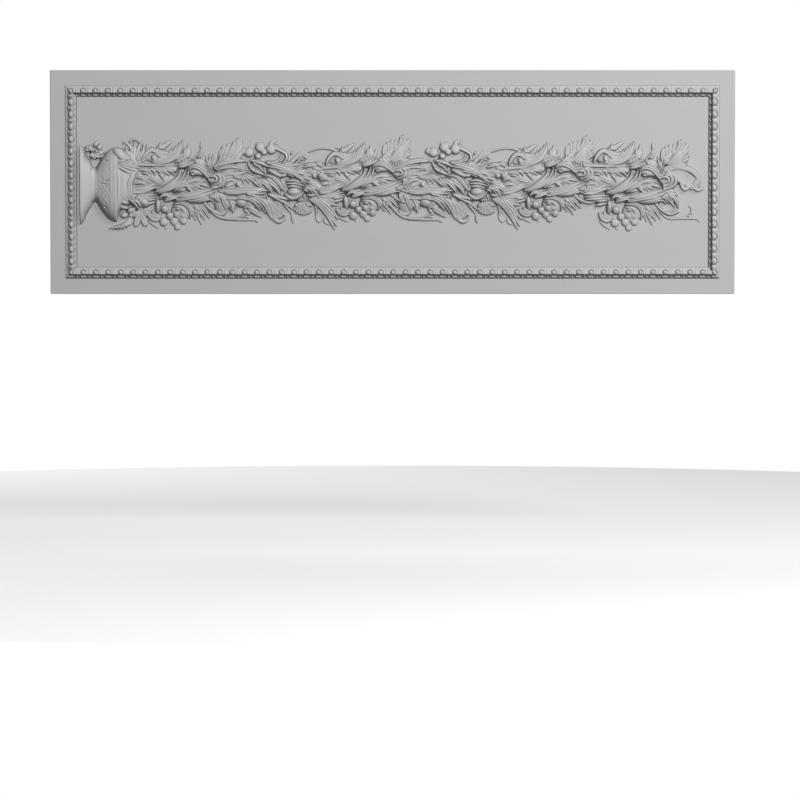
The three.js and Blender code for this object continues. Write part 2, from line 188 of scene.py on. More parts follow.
# %% [markdown]
# ## The finish and its painted shade
#
# The panel is wood under a flat grey primer. Up close such a coat is matt with a fine tooth. Shade is painted
# into
# its colour: the recesses and the steep walls are darker, as shade would make them, and the proud edges are a
# little paler, partly a painted highlight and partly rubbed wear. Recess and edge could be found by the
# renderer,
# but the carving knows them already: each point of the relief is compared with the mean height around it, and
# the difference, with how steeply the surface turns from the front, is kept on the mesh as an attribute. The
# node group reads it, so the painted shade follows the carving and not the camera.

# %% Node groups for the finish and its painted shade
MIX_FIRST = 6
MIX_SECOND = 7
MIX_COLOUR = 2
STRETCH = (1, 2.5, 2.5)
CLOUD_SCALE = 9.0
CLOUD_DETAIL = 4.0
TOOTH_SCALE = 900.0
TOOTH_DETAIL = 3.0
# Painted shade: the colour the coat is darkened towards in hollows and on steep walls
PAINTED_SHADE = (0.2, 0.2, 0.2, 1)
# Painted highlight, partly rubbed wear: the paler colour of proud edges
EDGE_HIGHLIGHT_AND_WEAR = (0.5, 0.5, 0.49, 1)
ROUGHNESS = (0.52, 0.72)
CLOUDINESS = 0.03
SHEEN = 0.25
TOOTH_HEIGHT = 0.0002


def noise(tree, place, scale, detail):
    """Noise node that reads a place"""
    made = tree.nodes.new("ShaderNodeTexNoise")
    made.inputs["Scale"].default_value = scale
    made.inputs["Detail"].default_value = detail
    tree.links.new(place, made.inputs["Vector"])
    return made.outputs["Fac"]


def mixed(tree, share, first, second, blend):
    """Colour mixed with a second one by a share"""
    made = tree.nodes.new("ShaderNodeMix")
    made.data_type = "RGBA"
    made.blend_type = blend
    made.inputs[MIX_SECOND].default_value = second
    tree.links.new(share, made.inputs["Factor"])
    tree.links.new(first, made.inputs[MIX_FIRST])
    return made.outputs[MIX_COLOUR]


def primer_and_shade_group():
    """Primer coat with painted shade: colour = coat darkened in hollows and on steep walls by painted shade
    and paled on edges by a painted highlight with some wear, times 1 + cloud * (noise - 0.5); roughness
    follows the same noise, and a much finer noise gives the tooth"""
    group = bpy.data.node_groups.new("primer_coat_and_painted_shade", "ShaderNodeTree")
    for name, kind, value in (
        ("Coat", "NodeSocketColor", (0.45, 0.45, 0.44, 1)),
        ("Hollow", "NodeSocketFloat", 0.0),
        ("Edge", "NodeSocketFloat", 0.0),
        ("Cloud", "NodeSocketFloat", CLOUDINESS),
    ):
        socket = group.interface.new_socket(name=name, in_out="INPUT", socket_type=kind)
        socket.default_value = value
    for name, kind in (
        ("Color", "NodeSocketColor"), ("Roughness", "NodeSocketFloat"), ("Tooth", "NodeSocketFloat"),
    ):
        group.interface.new_socket(name=name, in_out="OUTPUT", socket_type=kind)
    nodes, links = group.nodes, group.links
    given = nodes.new("NodeGroupInput")
    result = nodes.new("NodeGroupOutput")
    place = nodes.new("ShaderNodeTexCoord")
    stretch = nodes.new("ShaderNodeMapping")
    stretch.inputs["Scale"].default_value = STRETCH
    links.new(place.outputs["Object"], stretch.inputs["Vector"])
    clouds = noise(group, stretch.outputs["Vector"], CLOUD_SCALE, CLOUD_DETAIL)
    tooth = noise(group, stretch.outputs["Vector"], TOOTH_SCALE, TOOTH_DETAIL)
    # Painted shade darkens the coat by the Hollow input, and a painted highlight with some wear pales it by
    # the Edge input
    darker = mixed(group, given.outputs["Hollow"], given.outputs["Coat"], PAINTED_SHADE, "MULTIPLY")
    paler = mixed(group, given.outputs["Edge"], darker, EDGE_HIGHLIGHT_AND_WEAR, "MIX")

    centred = nodes.new("ShaderNodeMath")
    centred.operation = "SUBTRACT"
    centred.inputs[1].default_value = 0.5
    links.new(clouds, centred.inputs[0])
    scaled = nodes.new("ShaderNodeMath")
    scaled.operation = "MULTIPLY_ADD"
    scaled.inputs[2].default_value = 1.0
    links.new(centred.outputs["Value"], scaled.inputs[0])
    links.new(given.outputs["Cloud"], scaled.inputs[1])
    clouded = nodes.new("ShaderNodeVectorMath")
    clouded.operation = "SCALE"
    links.new(paler, clouded.inputs[0])
    links.new(scaled.outputs["Value"], clouded.inputs["Scale"])
    links.new(clouded.outputs["Vector"], result.inputs["Color"])

    rough = nodes.new("ShaderNodeMapRange")
    rough.inputs["To Min"].default_value, rough.inputs["To Max"].default_value = ROUGHNESS
    links.new(clouds, rough.inputs["Value"])
    links.new(rough.outputs["Result"], result.inputs["Roughness"])
    links.new(tooth, result.inputs["Tooth"])
    return group


PRIMER_AND_SHADE = primer_and_shade_group()


def primed_wood(name, coat, tooth):
    """Primed wood whose painted shade in hollows and painted highlight with wear on edges come from the mesh
    attributes hollow and edge
    """
    material = bpy.data.materials.new(name)
    material.use_nodes = True
    tree = material.node_tree
    shader = tree.nodes["Principled BSDF"]
    shader.inputs["Specular IOR Level"].default_value = SHEEN
    effect = tree.nodes.new("ShaderNodeGroup")
    effect.node_tree = PRIMER_AND_SHADE
    effect.inputs["Coat"].default_value = coat
    # The attribute hollow carries painted shade, the attribute edge a painted highlight with some wear
    for attribute, socket in (("hollow", "Hollow"), ("edge", "Edge")):
        reader = tree.nodes.new("ShaderNodeAttribute")
        reader.attribute_name = attribute
        tree.links.new(reader.outputs["Fac"], effect.inputs[socket])
    bump = tree.nodes.new("ShaderNodeBump")
    bump.inputs["Strength"].default_value = tooth
    bump.inputs["Distance"].default_value = TOOTH_HEIGHT
    tree.links.new(effect.outputs["Color"], shader.inputs["Base Color"])
    tree.links.new(effect.outputs["Roughness"], shader.inputs["Roughness"])
    tree.links.new(effect.outputs["Tooth"], bump.inputs["Height"])
    tree.links.new(bump.outputs["Normal"], shader.inputs["Normal"])
    return material


COAT = (0.45, 0.45, 0.445, 1)
CARVED_TOOTH = 0.25
BOARD_TOOTH = 0.35
# The carving's material shows the painted shade kept on its meshes; the board's meshes have none
carved_primer_with_painted_shade = primed_wood("carved_primed_wood_with_painted_shade", COAT, CARVED_TOOTH)
board_finish = primed_wood("board_primed_wood", COAT, BOARD_TOOTH)
print("finish is ready")

# %% [markdown]
# ## How the relief is made
#
# A relief on a board is a height over each point of its face, so the carving is worked out as one array of
# heights. Each leaf, stem or berry is a formula that gives its own heights in the window
# around it, and where two overlap the higher one wins, as with two leaves carved one over the other.
# Each leaf could be a mesh of its own, but hundreds of crossing meshes would hide most of their faces
# inside each other. A height array has no inside and gives clean crossings.

# %% The height array
GRID_STEP = 0.75
CUTTER_SLOPE = 7.0
REACH = 6.0


class Relief:
    """Heights in millimetres over a rectangle of the board's face"""

    def __init__(self, left, right, bottom, top):
        self.x = np.arange(left, right + GRID_STEP / 2, GRID_STEP)
        self.z = np.arange(bottom, top + GRID_STEP / 2, GRID_STEP)
        self.height = np.full((len(self.z), len(self.x)), -BURIED)

    def window(self, lowest, highest):
        """Slices of the array that hold the rectangle between two corners"""
        left, right = np.searchsorted(self.x, [lowest[0], highest[0]])
        bottom, top = np.searchsorted(self.z, [lowest[1], highest[1]])
        return slice(bottom, top), slice(left, right)

    def places(self, window):
        """x and z of each point in a window"""
        return np.meshgrid(self.x[window[1]], self.z[window[0]])

    def raise_to(self, window, height):
        """The higher of what is there and what is new"""
        np.maximum(self.height[window], height, out=self.height[window])


def ease(share):
    """Smooth step: 3 t^2 - 2 t^3 between 0 and 1"""
    share = np.clip(share, 0, 1)
    return share * share * (3 - 2 * share)


def ring(distance, half):
    """Soft ridge of the given half width about distance 0: exp(-(distance / half)^2)"""
    return np.exp(-((distance / half) ** 2))


def smooth_curve(points, per_span=10):
    """Catmull-Rom curve through the points: each span is a cubic whose slopes join the neighbours' ends"""
    points = np.asarray(points, float)
    if len(points) == 2:
        return points[0] + (points[1] - points[0]) * np.linspace(0, 1, per_span + 1)[:, None]
    ends = np.vstack([2 * points[0] - points[1], points, 2 * points[-1] - points[-2]])
    t = np.linspace(0, 1, per_span, endpoint=False)[:, None]
    spans = [
        0.5 * (2 * b + (c - a) * t + (2 * a - 5 * b + 4 * c - d) * t**2 + (3 * b - a - 3 * c + d) * t**3)
        for a, b, c, d in zip(ends, ends[1:], ends[2:], ends[3:])
    ]
    return np.vstack(spans + [points[-1:]])


def along_and_off(relief, line, reach):
    """For each grid point near a line: its share of the way along, its distance off it with a sign for the
    side (left of the way is plus), and the line's length. The nearest of the line's short steps counts."""
    window = relief.window(line.min(0) - reach, line.max(0) + reach)
    x, z = relief.places(window)
    steps = np.diff(line, axis=0)
    lengths = np.hypot(*steps.T)
    done = np.concatenate([[0], np.cumsum(lengths)])
    nearest = np.full(x.shape, np.inf)
    share = np.zeros(x.shape)
    off = np.zeros(x.shape)
    for start, step, length, before in zip(line, steps, lengths, done):
        way_x, way_z = step / length
        from_x, from_z = x - start[0], z - start[1]
        forward = np.clip(from_x * way_x + from_z * way_z, 0, length)
        gap = np.hypot(from_x - forward * way_x, from_z - forward * way_z)
        near = gap < nearest
        nearest = np.where(near, gap, nearest)
        share = np.where(near, (before + forward) / done[-1], share)
        off = np.where(near, np.where(way_x * from_z - way_z * from_x >= 0, gap, -gap), off)
    return window, share, off, done[-1]


print(f"grid of {GRID_STEP} mm")

# %% [markdown]
# ## Leaves and fruit
#
# A leaf is described as a carver would: a curve for its midrib, how wide and how high it is, whether its
# edge is cut into lobes, and whether its face is hollowed or rounded. Its height falls
# from the crest to the edge like a quarter of a circle, and past the edge it drops steeply, at the slope
# a tapered cutter leaves. Leaf, petal, stem and band differ only in how their width changes from base to tip.
# A fruit is an oval dome with the same steep edge.

# %% Leaf formula
THINNEST = 0.2
ROUND_SHARE = 0.96
MIDRIB_HALF = 0.9
FLANK_AT = 2.0
FLANK_DEPTH = 0.55
RIB_DEPTH = 1.1
LOBE_LEAN = 1.7
LOBE_RIBS = 3
RIB_SHARE = 0.35


def round_end(share, start):
    """1 up to the start, then a quarter of an ellipse down to 0 at the tip"""
    return np.sqrt(1 - np.clip((share - start) / (1 - start), 0, 1) ** 2)


def width_share(kind, share):
    """Half width at each share of the way, as a part of the widest: a leaf swells like a sine, a blade and a
    petal widen to a round end, a stem thins evenly and a band stays as it is"""
    if kind == "leaf":
        return np.sin(np.pi * share**0.85) ** 0.75 * (1 - 0.12 * share) + 0.12 * (1 - share)
    if kind == "blade":
        return (0.22 + 0.78 * ease(share / 0.8)) * round_end(share, 0.88)
    if kind == "petal":
        return (0.2 + 0.8 * ease(share / 0.6)) * round_end(share, 0.7)
    if kind == "stem":
        return 1 - 0.6 * share
    return np.ones_like(share)


def lobed(share, off, length, half, wide, lobes, deep):
    """Lobes cut the edge with |sin| waves that lean forward. A fine notch and ribs run in from each cut."""
    distance = np.abs(off)
    beat = lobes * (share - LOBE_LEAN * distance / length * (1 - 0.3 * share)) + 0.25 * np.sign(off)
    wave = np.abs(np.sin(np.pi * beat))
    wide = wide * (1 - deep * (1 - wave**0.8))
    notch = (1 - wave) ** 3 * np.minimum(1.5 * distance / wide, 1)
    notch -= RIB_SHARE * np.cos(2 * np.pi * LOBE_RIBS * beat) * np.minimum(2 * distance / half, 1)
    return wide, notch


def leaf(relief, points, half, up, kind="leaf", fall=0.6, base=0.75, midrib=0.6, lobes=0, deep=0.35):
    """Height = crest - fall * half * (1 - sqrt(1 - t^2)), with t the distance off the midrib over the half
    width. The crest starts at the share base of its height and swells like a sine. The midrib is a narrow
    ridge between two flanks, or a groove if it is negative. Lobes cut the edge by the share deep."""
    window, share, off, length = along_and_off(relief, smooth_curve(points), half + REACH)
    distance = np.abs(off)
    wide = half * width_share(kind, share)
    notch = 0.0
    if lobes:
        wide, notch = lobed(share, off, length, half, wide, lobes, deep)
    wide = np.maximum(wide, THINNEST)
    t = np.clip(distance / wide, 0, 1)
    swell = ease(share / 0.7) if kind == "blade" else np.sin(np.pi * share**0.8)
    height = up * (base + (1 - base) * swell) - half * fall * (1 - np.sqrt(1 - ROUND_SHARE * t**2))
    height += midrib * (ring(distance, MIDRIB_HALF) - FLANK_DEPTH * ring(distance - FLANK_AT, 1))
    height -= notch * RIB_DEPTH
    height -= CUTTER_SLOPE * np.maximum(distance - wide, 0)
    relief.raise_to(window, height)


print("leaf formula is ready")

# %% Oval formula
EYE_HALF = 0.28


def oval(relief, middle, half_x, half_z, turn, up, dome=0.5, dimple=0.0):
    """Height = up * (1 - dome + dome * sqrt(1 - r^2)), with r the share of the way to the oval's edge"""
    reach = max(half_x, half_z) + REACH
    window = relief.window(np.subtract(middle, reach), np.add(middle, reach))
    x, z = relief.places(window)
    c, s = math.cos(math.radians(turn)), math.sin(math.radians(turn))
    a = ((x - middle[0]) * c + (z - middle[1]) * s) / half_x
    b = ((z - middle[1]) * c - (x - middle[0]) * s) / half_z
    r = np.hypot(a, b)
    height = up * (1 - dome + dome * np.sqrt(np.clip(1 - r**2, 0, 1)))
    height -= dimple * ring(r, EYE_HALF)
    height -= CUTTER_SLOPE * np.maximum(r - 1, 0) * min(half_x, half_z)
    relief.raise_to(window, height)


def around(middle, radius, start, degrees, closing=0.0, count=24):
    """Points on an arc or, with a closing share, on a spiral about a middle"""
    share = np.linspace(0, 1, count)
    angle = np.radians(start + degrees * share)
    reach = radius * (1 - closing * share)
    return np.stack([middle[0] + reach * np.cos(angle), middle[1] + reach * np.sin(angle)], 1)


print("oval formula is ready")

# %% [markdown]
# ## The cuts
#
# A carver has a few cuts that come again and again, and each is a short function here, made from the leaf and
# the oval. All take the relief, their points, half width and height in millimetres, and how far the layout is
# turned, which matters only to those with an angle of their own. What follows is the kind's own detail.

# %% Cuts by name
GROOVED = 2.6
SEED = 1.2
SEEDS_IN_HEAD = 22
GOLDEN_ANGLE = math.pi * (3 - math.sqrt(5))


def frond(relief, points, half, up, turn, lobes):
    """Leaf whose edge is cut into lobes"""
    leaf(relief, points, half, up, fall=0.4, midrib=1.0, lobes=lobes, deep=0.4)


def blade(relief, points, half, up, turn, fingers):
    """Leaf of long fingers that share a base and spread to pointed tips, the middle one longest"""
    line = smooth_curve(points, 8)
    way = np.gradient(line, axis=0)
    aside = np.stack([-way[:, 1], way[:, 0]], 1) / np.hypot(*way.T)[:, None]
    spread = ease(np.linspace(0, 1.2, len(line)))[:, None]
    for place in np.linspace(-1, 1, fingers):
        finger = line + aside * spread * place * 0.7 * half
        reach = round(len(line) * (1 - 0.2 * abs(place)))
        lift = up * (1 - 0.07 * abs(place))
        leaf(relief, finger[:reach:4], 0.42 * half, lift, fall=0.7, base=0.8, midrib=0.5)


def strap(relief, points, half, up, turn):
    """Narrow pointed leaf, with a fine groove along its middle where it is wide enough for one"""
    leaf(relief, points, half, up, fall=0.3, midrib=-0.9 if half > GROOVED else 0.5)


def lobe(relief, points, half, up, turn):
    """Flat lobe with a round end and a fine groove along its middle"""
    leaf(relief, points, half, up, "petal", fall=0.35, base=0.85, midrib=-0.7)


def trumpet(relief, points, half, up, turn):
    """Smooth calyx that widens to its mouth"""
    leaf(relief, points, half, up, "blade", fall=0.4, midrib=0)


def stem(relief, points, half, up, turn):
    """Round stem that thins to its tip"""
    leaf(relief, points, half, up, "stem", fall=0.4, base=0.9, midrib=0)


def ribbon(relief, points, half, up, turn):
    """Band of even width, hollowed along its middle"""
    leaf(relief, points, half, up, "band", fall=-0.12, base=0.8, midrib=0)


def groove(relief, points, half, down, turn):
    """Line cut into what is there, as deep as the row's height says"""
    window, _, off, _ = along_and_off(relief, smooth_curve(points), half + REACH)
    relief.height[window] -= down * ring(off, half)


def berry(relief, points, half, up, turn):
    """Round fruit with a small eye"""
    oval(relief, points[0], half, half, 0, 0.95 * up, dome=0.7, dimple=0.6)


def pod(relief, points, half, up, turn, across, own_turn):
    """Oval fruit or bud, with its half size across and its own turn"""
    oval(relief, points[0], half, across * SQUARE, own_turn + turn, up, dome=0.65)


def curl(relief, points, half, up, turn, start, turns):
    """Rolled leaf end: a shallow dish with a spiral rim and an eye"""
    oval(relief, points[0], 0.95 * half, 0.8 * half, turn, 0.82 * up, dome=0.2)
    spiral = around(points[0], 0.8 * half, start + turn, 360 * turns, closing=0.75)
    leaf(relief, spiral, 0.17 * half, up, "band", fall=0.2, base=0.9, midrib=0)
    oval(relief, points[0], 0.22 * half, 0.22 * half, 0, up, dome=0.3)


def arcs(relief, points, half, up, turn, first, last, count):
    """Rolled lip: ribs on arcs about one middle, each inner one a little higher"""
    for rib in range(count):
        arc = around(points[0], half * (1 - 0.3 * rib), first + turn, last - first, count=8)
        leaf(relief, arc, 0.15 * half, up + 0.5 * rib, "band", fall=0.25, base=1, midrib=0)


def seeds(relief, points, half, up, turn, across):
    """Head of small seeds set at the golden angle, like a sunflower's"""
    across = across * SQUARE
    oval(relief, points[0], half, across, 0, 0.55 * up, dome=0.3)
    for seed in range(SEEDS_IN_HEAD):
        out = math.sqrt((seed + 0.5) / SEEDS_IN_HEAD)
        angle = seed * GOLDEN_ANGLE
        place = points[0] + out * np.array([half * math.cos(angle), across * math.sin(angle)])
        oval(relief, place, SEED, SEED, 0, 0.9 * up, dome=0.35)


def fan(relief, points, half, up, turn, first, last, count, petal_half):
    """Petals that spread from one point between two angles, every other one a little higher"""
    for petal, angle in enumerate(np.radians(np.linspace(first, last, count) + turn)):
        tip = points[0] + half * np.array([math.cos(angle), math.sin(angle)])
        lift = up + 0.7 * (petal % 2)
        leaf(relief, [points[0], tip], petal_half * SQUARE, lift, "petal", fall=0.3, base=1, midrib=-0.7)


CUTS = {cut.__name__: cut for cut in (
    frond, blade, strap, lobe, trumpet, stem, ribbon, groove, berry, pod, curl, arcs, seeds, fan,
)}
print("cuts:", ", ".join(CUTS))

# %% [markdown]
# ## The carver's layout
#
# The design is laid out in squares from a point on the middle line, x along the panel and z up. In each list
# the name of a cut stands before its rows. A row gives the half width in squares, the height in steps, the
# details of its kind, and then its points. The rows between two grooves may stand in any order, because the
# higher cut wins, but a groove goes into what is already there. The stalk with its wrapped leaves
# comes four times, the boughs twice, and the crests take turns above the stalks.

# %% Layout of the stalk
STALK = [
    "blade",
    [5, 9, 5, [52, 18], [57, 27], [59, 37]],
    "strap",
    [1.4, 14, [44.5, 19.4], [50, 23.8], [56, 26]],
    [1.3, 14, [45, 17], [52, 20.5], [58.5, 23.6]],
    [1.4, 14.5, [47, 14.6], [55, 17.4], [62, 21.6]],
    [1.4, 15, [48, 12.6], [56, 14.4], [64.5, 19.5]],
    "groove",
    [0.5, 1.6, [49.4, 23.4], [51.6, 17]],
    [0.5, 1.6, [52.6, 24.4], [54.6, 17.4]],
    [0.5, 1.6, [55.8, 25], [57.6, 18.4]],
    "strap",
    [1.1, 13, [64.6, 20], [68, 16.6], [72, 13.6]],
    [1.1, 13, [67.2, 20.4], [71, 17], [75, 14]],
    [1.1, 12, [69.8, 21], [73.6, 17.6], [77.4, 14.8]],
    [1.7, 15, [20, 20], [32, 21], [39, 25], [43.3, 32.5]],
    [1.8, 16, [22, 18.8], [34, 20], [42, 25], [47, 34.6]],
    [1.8, 17, [22, 18], [36, 19], [45, 25.5], [50, 37.5]],
    [2.2, 18, [24, 17.4], [38, 18.8], [48, 26], [53.3, 40]],
    [1.8, 18, [12, 18.4], [16, 25.4], [21, 29.8], [25.6, 29], [29, 25.4], [33, 23.6], [40, 26]],
    "pod",
    [11, 13, 4.6, 4, [27, 21.5]],
    [3.2, 17, 4.2, 0, [24.2, 22.4]],
    "groove",
    [0.5, 1.6, [26.6, 19.2], [27, 22.4], [26, 26]],
    "pod",
    [4.6, 14, 2, -20, [31.4, 27]],
    [3.6, 14, 2.6, 50, [29, 32]],
    "strap",
    [1.4, 13, [30, 29.6], [35.6, 27], [40, 29.6]],
    [1.2, 17, [31.6, 30.4], [30.2, 33.6], [30.8, 37]],
    [1, 15, [33.8, 30.6], [32.6, 33.6], [33.4, 36.4]],
    [1.9, 13, [32.6, 30.6], [36.4, 35.4], [42.8, 39]],
    "stem",
    [1.7, 16, [3, 15.6], [20, 14.9], [46, 14.9]],
    "trumpet",
    [2.8, 17.5, [24, 10.6], [36, 10.9], [47, 10.6]],
    "groove",
    [0.9, 4, [45.6, 13.7], [46.8, 13.7]],
    "pod",
    [20, 14, 9, 0, [24, 2]],
    [9.5, 19, 4.4, -8, [67, 8]],
    "strap",
    [1, 16, [4, 5.6], [9, 6.2], [14.4, 2.2]],
    [1.5, 17, [4, 2.4], [10.5, 3.2], [15.6, -1]],
    [1.5, 17.5, [6.6, 9.8], [14, 10.6], [20, 8.6], [23.6, 2.4]],
    [1.1, 16, [12, 6.6], [17, 6.6], [20.4, 3]],
    [1.3, 17.5, [19, 11.6], [24.4, 8.8], [25.8, 3.2]],
    [1.8, 18, [21.4, 12], [30, 9.6], [35.8, 3]],
    [1.5, 18, [28, 12], [35, 9], [40.4, 4]],
    [1.5, 18, [33, 12], [41, 9.4], [45, 4.6]],
    [1.1, 17, [28.6, 7], [32.4, 3.6], [34.8, -1.4]],
    [2, 15.5, [17, 4], [24, 1], [32, -3]],
    [1.5, 16, [3, -4], [10, -2], [17, -4.4]],
    [1.5, 16, [2, -8], [14, -7.4], [27, -4.4]],
    [1.6, 16, [2, -10.6], [15, -10], [28, -7]],
    [1.3, 16, [2, -13], [12, -12.6], [21, -11]],
    [1.3, 15, [3, -16], [15, -15.6], [27, -14.4]],
    [1.3, 15, [4, -18.6], [15, -18], [27, -17]],
    [1.1, 15, [15, -20.6], [21, -20], [26, -19]],
    [1.3, 14, [14, -24.6], [20, -23.4], [25, -22.6]],
    [1.7, 20, [25, -12.4], [34, -8.6], [42, -3], [48.6, 3], [50.6, 9.6]],
    [1.4, 20, [28, -13.6], [37, -10], [44, -5], [52, 1.6], [56.4, 10.4]],
    [1.4, 19.5, [33, -13], [42, -9], [50, -4], [57, 2.4], [59, 10.8]],
    [1.8, 19, [42, -10], [50, -5.6], [60, -1.4], [68, 0.4], [76, -1.6]],
    [2.3, 21.5, [58, 10], [63, 13.2], [69, 12.4], [75, 7.2], [79.4, 0.6]],
    "curl",
    [2.8, 21.5, 200, 1.1, [64, 7.2]],
    "groove",
    [0.9, 4, [60, 2.4], [66, 3.4], [72, 3.2], [77, -0.2]],
    "strap",
    [1.5, 19, [44, -11.6], [50, -7.6], [56, -5.2], [62, -6.4], [67, -9.4], [69, -13]],
    [1.4, 19, [56, -7], [60.6, -9.6], [63, -14]],
    [1.5, 18.5, [60, -5], [67, -5.6], [73.4, -9.4]],
    [1.7, 18, [64, -2.6], [71, -3.4], [79, -6.8]],
    [2.2, 17.5, [34, -21], [40, -18.4], [46, -17.4], [49.4, -20.6]],
    [1.5, 17, [30, -19], [33, -15.4], [38, -15], [43, -17.4]],
    [1.9, 19, [44, -16.4], [58, -14.2], [72, -11.4], [84, -9]],
    [2.1, 22, [46, -20.4], [60, -17.8], [72, -15.4], [86, -11]],
    [1.6, 21, [54, -21], [66, -19.4], [78, -17.2], [86, -14.6]],
    [1.6, 20, [58, -21.6], [70, -20.4], [80, -19.2], [84.6, -22.6]],
    [1.6, 21, [78, -16.4], [83.4, -16.6], [84.6, -21]],
    [1.2, 18, [77, 2.6], [82, 3.8], [86, 3], [86.6, -0.4], [83, -1.8], [78.4, 0]],
    [1.3, 18, [83, 6], [88.6, 5], [90.4, 1], [88, -3.6], [81, -6.6]],
    [1.3, 17, [88, 7.6], [92.8, 4.4], [94, -1], [91, -5.8], [82, -8.8]],
    [2.4, 18, [18, -32], [22, -37.4], [26.6, -39.4], [31, -36.6]],
    [1.5, 18, [22.4, -31], [25, -35], [28.4, -36.4], [31.4, -34.6]],
    [1.7, 10, [18.6, -39.6], [23, -43], [28.6, -48.4]],
    [1.6, 17, [44, -23.6], [52, -23], [58, -26], [60.6, -32], [59.6, -38.6]],
    [1.2, 17, [44, -26.4], [50, -27], [53.6, -30.4], [54.4, -35.6]],
    [1.5, 12, [58, -23], [62, -31], [65.6, -40.4]],
    [1.5, 12, [61, -23], [66, -31], [71.6, -44.6]],
    [1.4, 12, [64, -23], [69, -32], [72.4, -37]],
    [1.5, 12, [66, -23], [71, -31], [74.6, -40]],
    [1.5, 12, [69, -23], [75, -30], [79.5, -38.5]],
    [1.5, 11, [72, -23], [77, -27], [80.6, -33]],
    "pod",
    [6.4, 16, 2.6, 14, [51.6, -9.6]],
    [7.4, 14, 6.6, 0, [85, 0.4]],
    [2.8, 18, 6.8, -4, [27.8, -26.4]],
    [4, 18, 2.8, 20, [48.6, -28.8]],
    "berry",
    [9.6, 15.5, [50.6, -31.4]],
    [3.6, 18.5, [46.6, -34.6]],
    [3.2, 17.5, [52.6, -35.4]],
    [4, 18, [34.6, -29.4]],
    [3.6, 18, [39.6, -36]],
    [4.2, 18, [33.8, -42]],
    [3.8, 16, [44, -41.4]],
    [3.2, 14, [47.4, -47]],
    [3.6, 15, [53.4, -41]],
    [1.6, 6, [36, -47.5]],
    "groove",
    [0.8, 3, [63.4, -28], [64.2, -29.2]],
    [0.8, 3, [67.4, -30.6], [68.2, -31.4]],
    [0.8, 3, [63.4, -35], [64.4, -37.8]],
    [0.8, 3, [66.4, -33], [67.2, -34.6]],
    "seeds",
    [4.6, 15, 4.6, [78, 11]],
    "stem",
    [1.2, 15, [73, -21], [80, -29], [89, -33.5], [97, -31]],
    "strap",
    [1.6, 15, [88, -12], [91, -20]],
    [1.7, 15, [90, -12], [95, -20], [97, -27]],
]
print("laid out: the stalk")

# %% Layout of the crests above the stalks
BUD_CREST = [
    "pod",
    [1.5, 8, 4.2, -8, [71.5, 35]],
    "stem",
    [0.9, 7, [64, 20], [69, 27], [71, 31]],
    "strap",
    [1.4, 8, [68, 22], [72, 26], [74, 28]],
    [1, 5, [79, 15], [77, 20], [76.4, 25]],
    [1, 5, [80, 15], [79.6, 21], [80, 27]],
    [1, 5, [81, 15], [82.4, 21], [84, 27]],
    "blade",
    [4.6, 13, 4, [65, 20], [71, 17], [78, 10]],
]
FAN_CREST = [
    "pod",
    [13, 8, 4.6, 47, [99, 27]],
    "lobe",
    [1.7, 11, [85.4, 14.6], [90.4, 21.6], [91, 30]],
    [2.3, 11.5, [85.6, 14.2], [92, 24], [94, 34.6]],
    [3, 12, [85.6, 13.6], [94, 24], [99.8, 36.2]],
    [2.4, 13, [84.6, 12.4], [95, 23.4], [102, 31], [105, 39]],
    [4.4, 14, [85, 11.6], [96, 21], [104.6, 30], [111.4, 42.4]],
    [2.4, 13, [86, 11], [97.4, 18.6], [106, 26], [113, 34.6]],
    [2.2, 12, [87, 10.6], [99, 16.6], [108, 23], [114.4, 31]],
    "groove",
    [0.7, 3.4, [88, 16.6], [95.4, 22], [101, 27.4], [104.6, 32], [106, 37]],
    [0.7, 3, [88.6, 19.6], [92.6, 32]],
    [0.7, 3, [91, 20.6], [97, 34.6]],
    [0.7, 3, [95.4, 23.4], [102, 36.4]],
    [0.7, 3, [100, 21.6], [112, 38]],
    [0.7, 3, [100, 18], [113.6, 32.6]],
]
LEAF_CREST = [
    "pod",
    [10, 5.5, 5, 52, [81.6, 30]],
    "lobe",
    [1.7, 8.5, [69.6, 20.4], [68.8, 28], [70.2, 36]],
    [2.1, 9.5, [71, 20], [72, 29], [72.8, 38.4]],
    [2.4, 9.5, [72, 20], [74.6, 30], [77.6, 40.4]],
    [2.1, 9.5, [72.6, 20.4], [78, 30], [82, 41]],
    [1.9, 11, [73, 20.6], [80, 29.6], [85, 37], [86, 44]],
    [3, 12.5, [74, 20.4], [83, 30], [90.6, 45.6]],
    [2.5, 11.5, [74.6, 20], [86, 29], [95, 41]],
    [2, 11, [75.4, 19.6], [86, 25.8], [95, 35]],
    [1.8, 10.5, [76, 19], [86, 23.6], [96, 30]],
    [1.6, 10.5, [77, 18.6], [87, 21.6], [95.4, 26.4]],
    "strap",
    [1.4, 11, [84, 18], [90, 19.4], [94.4, 22]],
    "groove",
    [0.7, 3.4, [76, 25], [81.4, 30.6], [85.4, 36], [87.4, 41]],
    [0.7, 3, [71.6, 29], [71.2, 37]],
    [0.7, 3, [74, 30.6], [75, 39]],
    [0.7, 3, [77.4, 31.6], [79.4, 40]],
    [0.7, 3, [81.6, 34], [84.4, 41.4]],
    [0.7, 3, [87, 33.6], [92.6, 43.4]],
    [0.7, 3, [87.6, 28.6], [95, 37.6]],
    [0.7, 3, [88, 25.4], [95.4, 32]],
    [0.7, 3, [87.6, 22.6], [95.4, 28]],
]
SEED_CREST = [
    "seeds",
    [5, 14, 3.8, [82, 14.6]],
    [3.6, 12, 2.2, [88.6, 18]],
    [5, 12, 2.2, [60.6, 17.6]],
    "strap",
    [1.6, 12, [65.6, 20.6], [70, 23.6], [75.6, 27]],
    [1.3, 12, [67, 18.4], [71, 18.4], [74, 21.4]],
    [1.7, 7, [57, 22], [60.6, 26], [61.4, 31.6]],
    [1.3, 7, [55, 23], [57.4, 27.6], [57, 32]],
    [1, 7, [53, 24], [55, 28], [54.4, 31]],
]
print("laid out: the crests above the stalks")

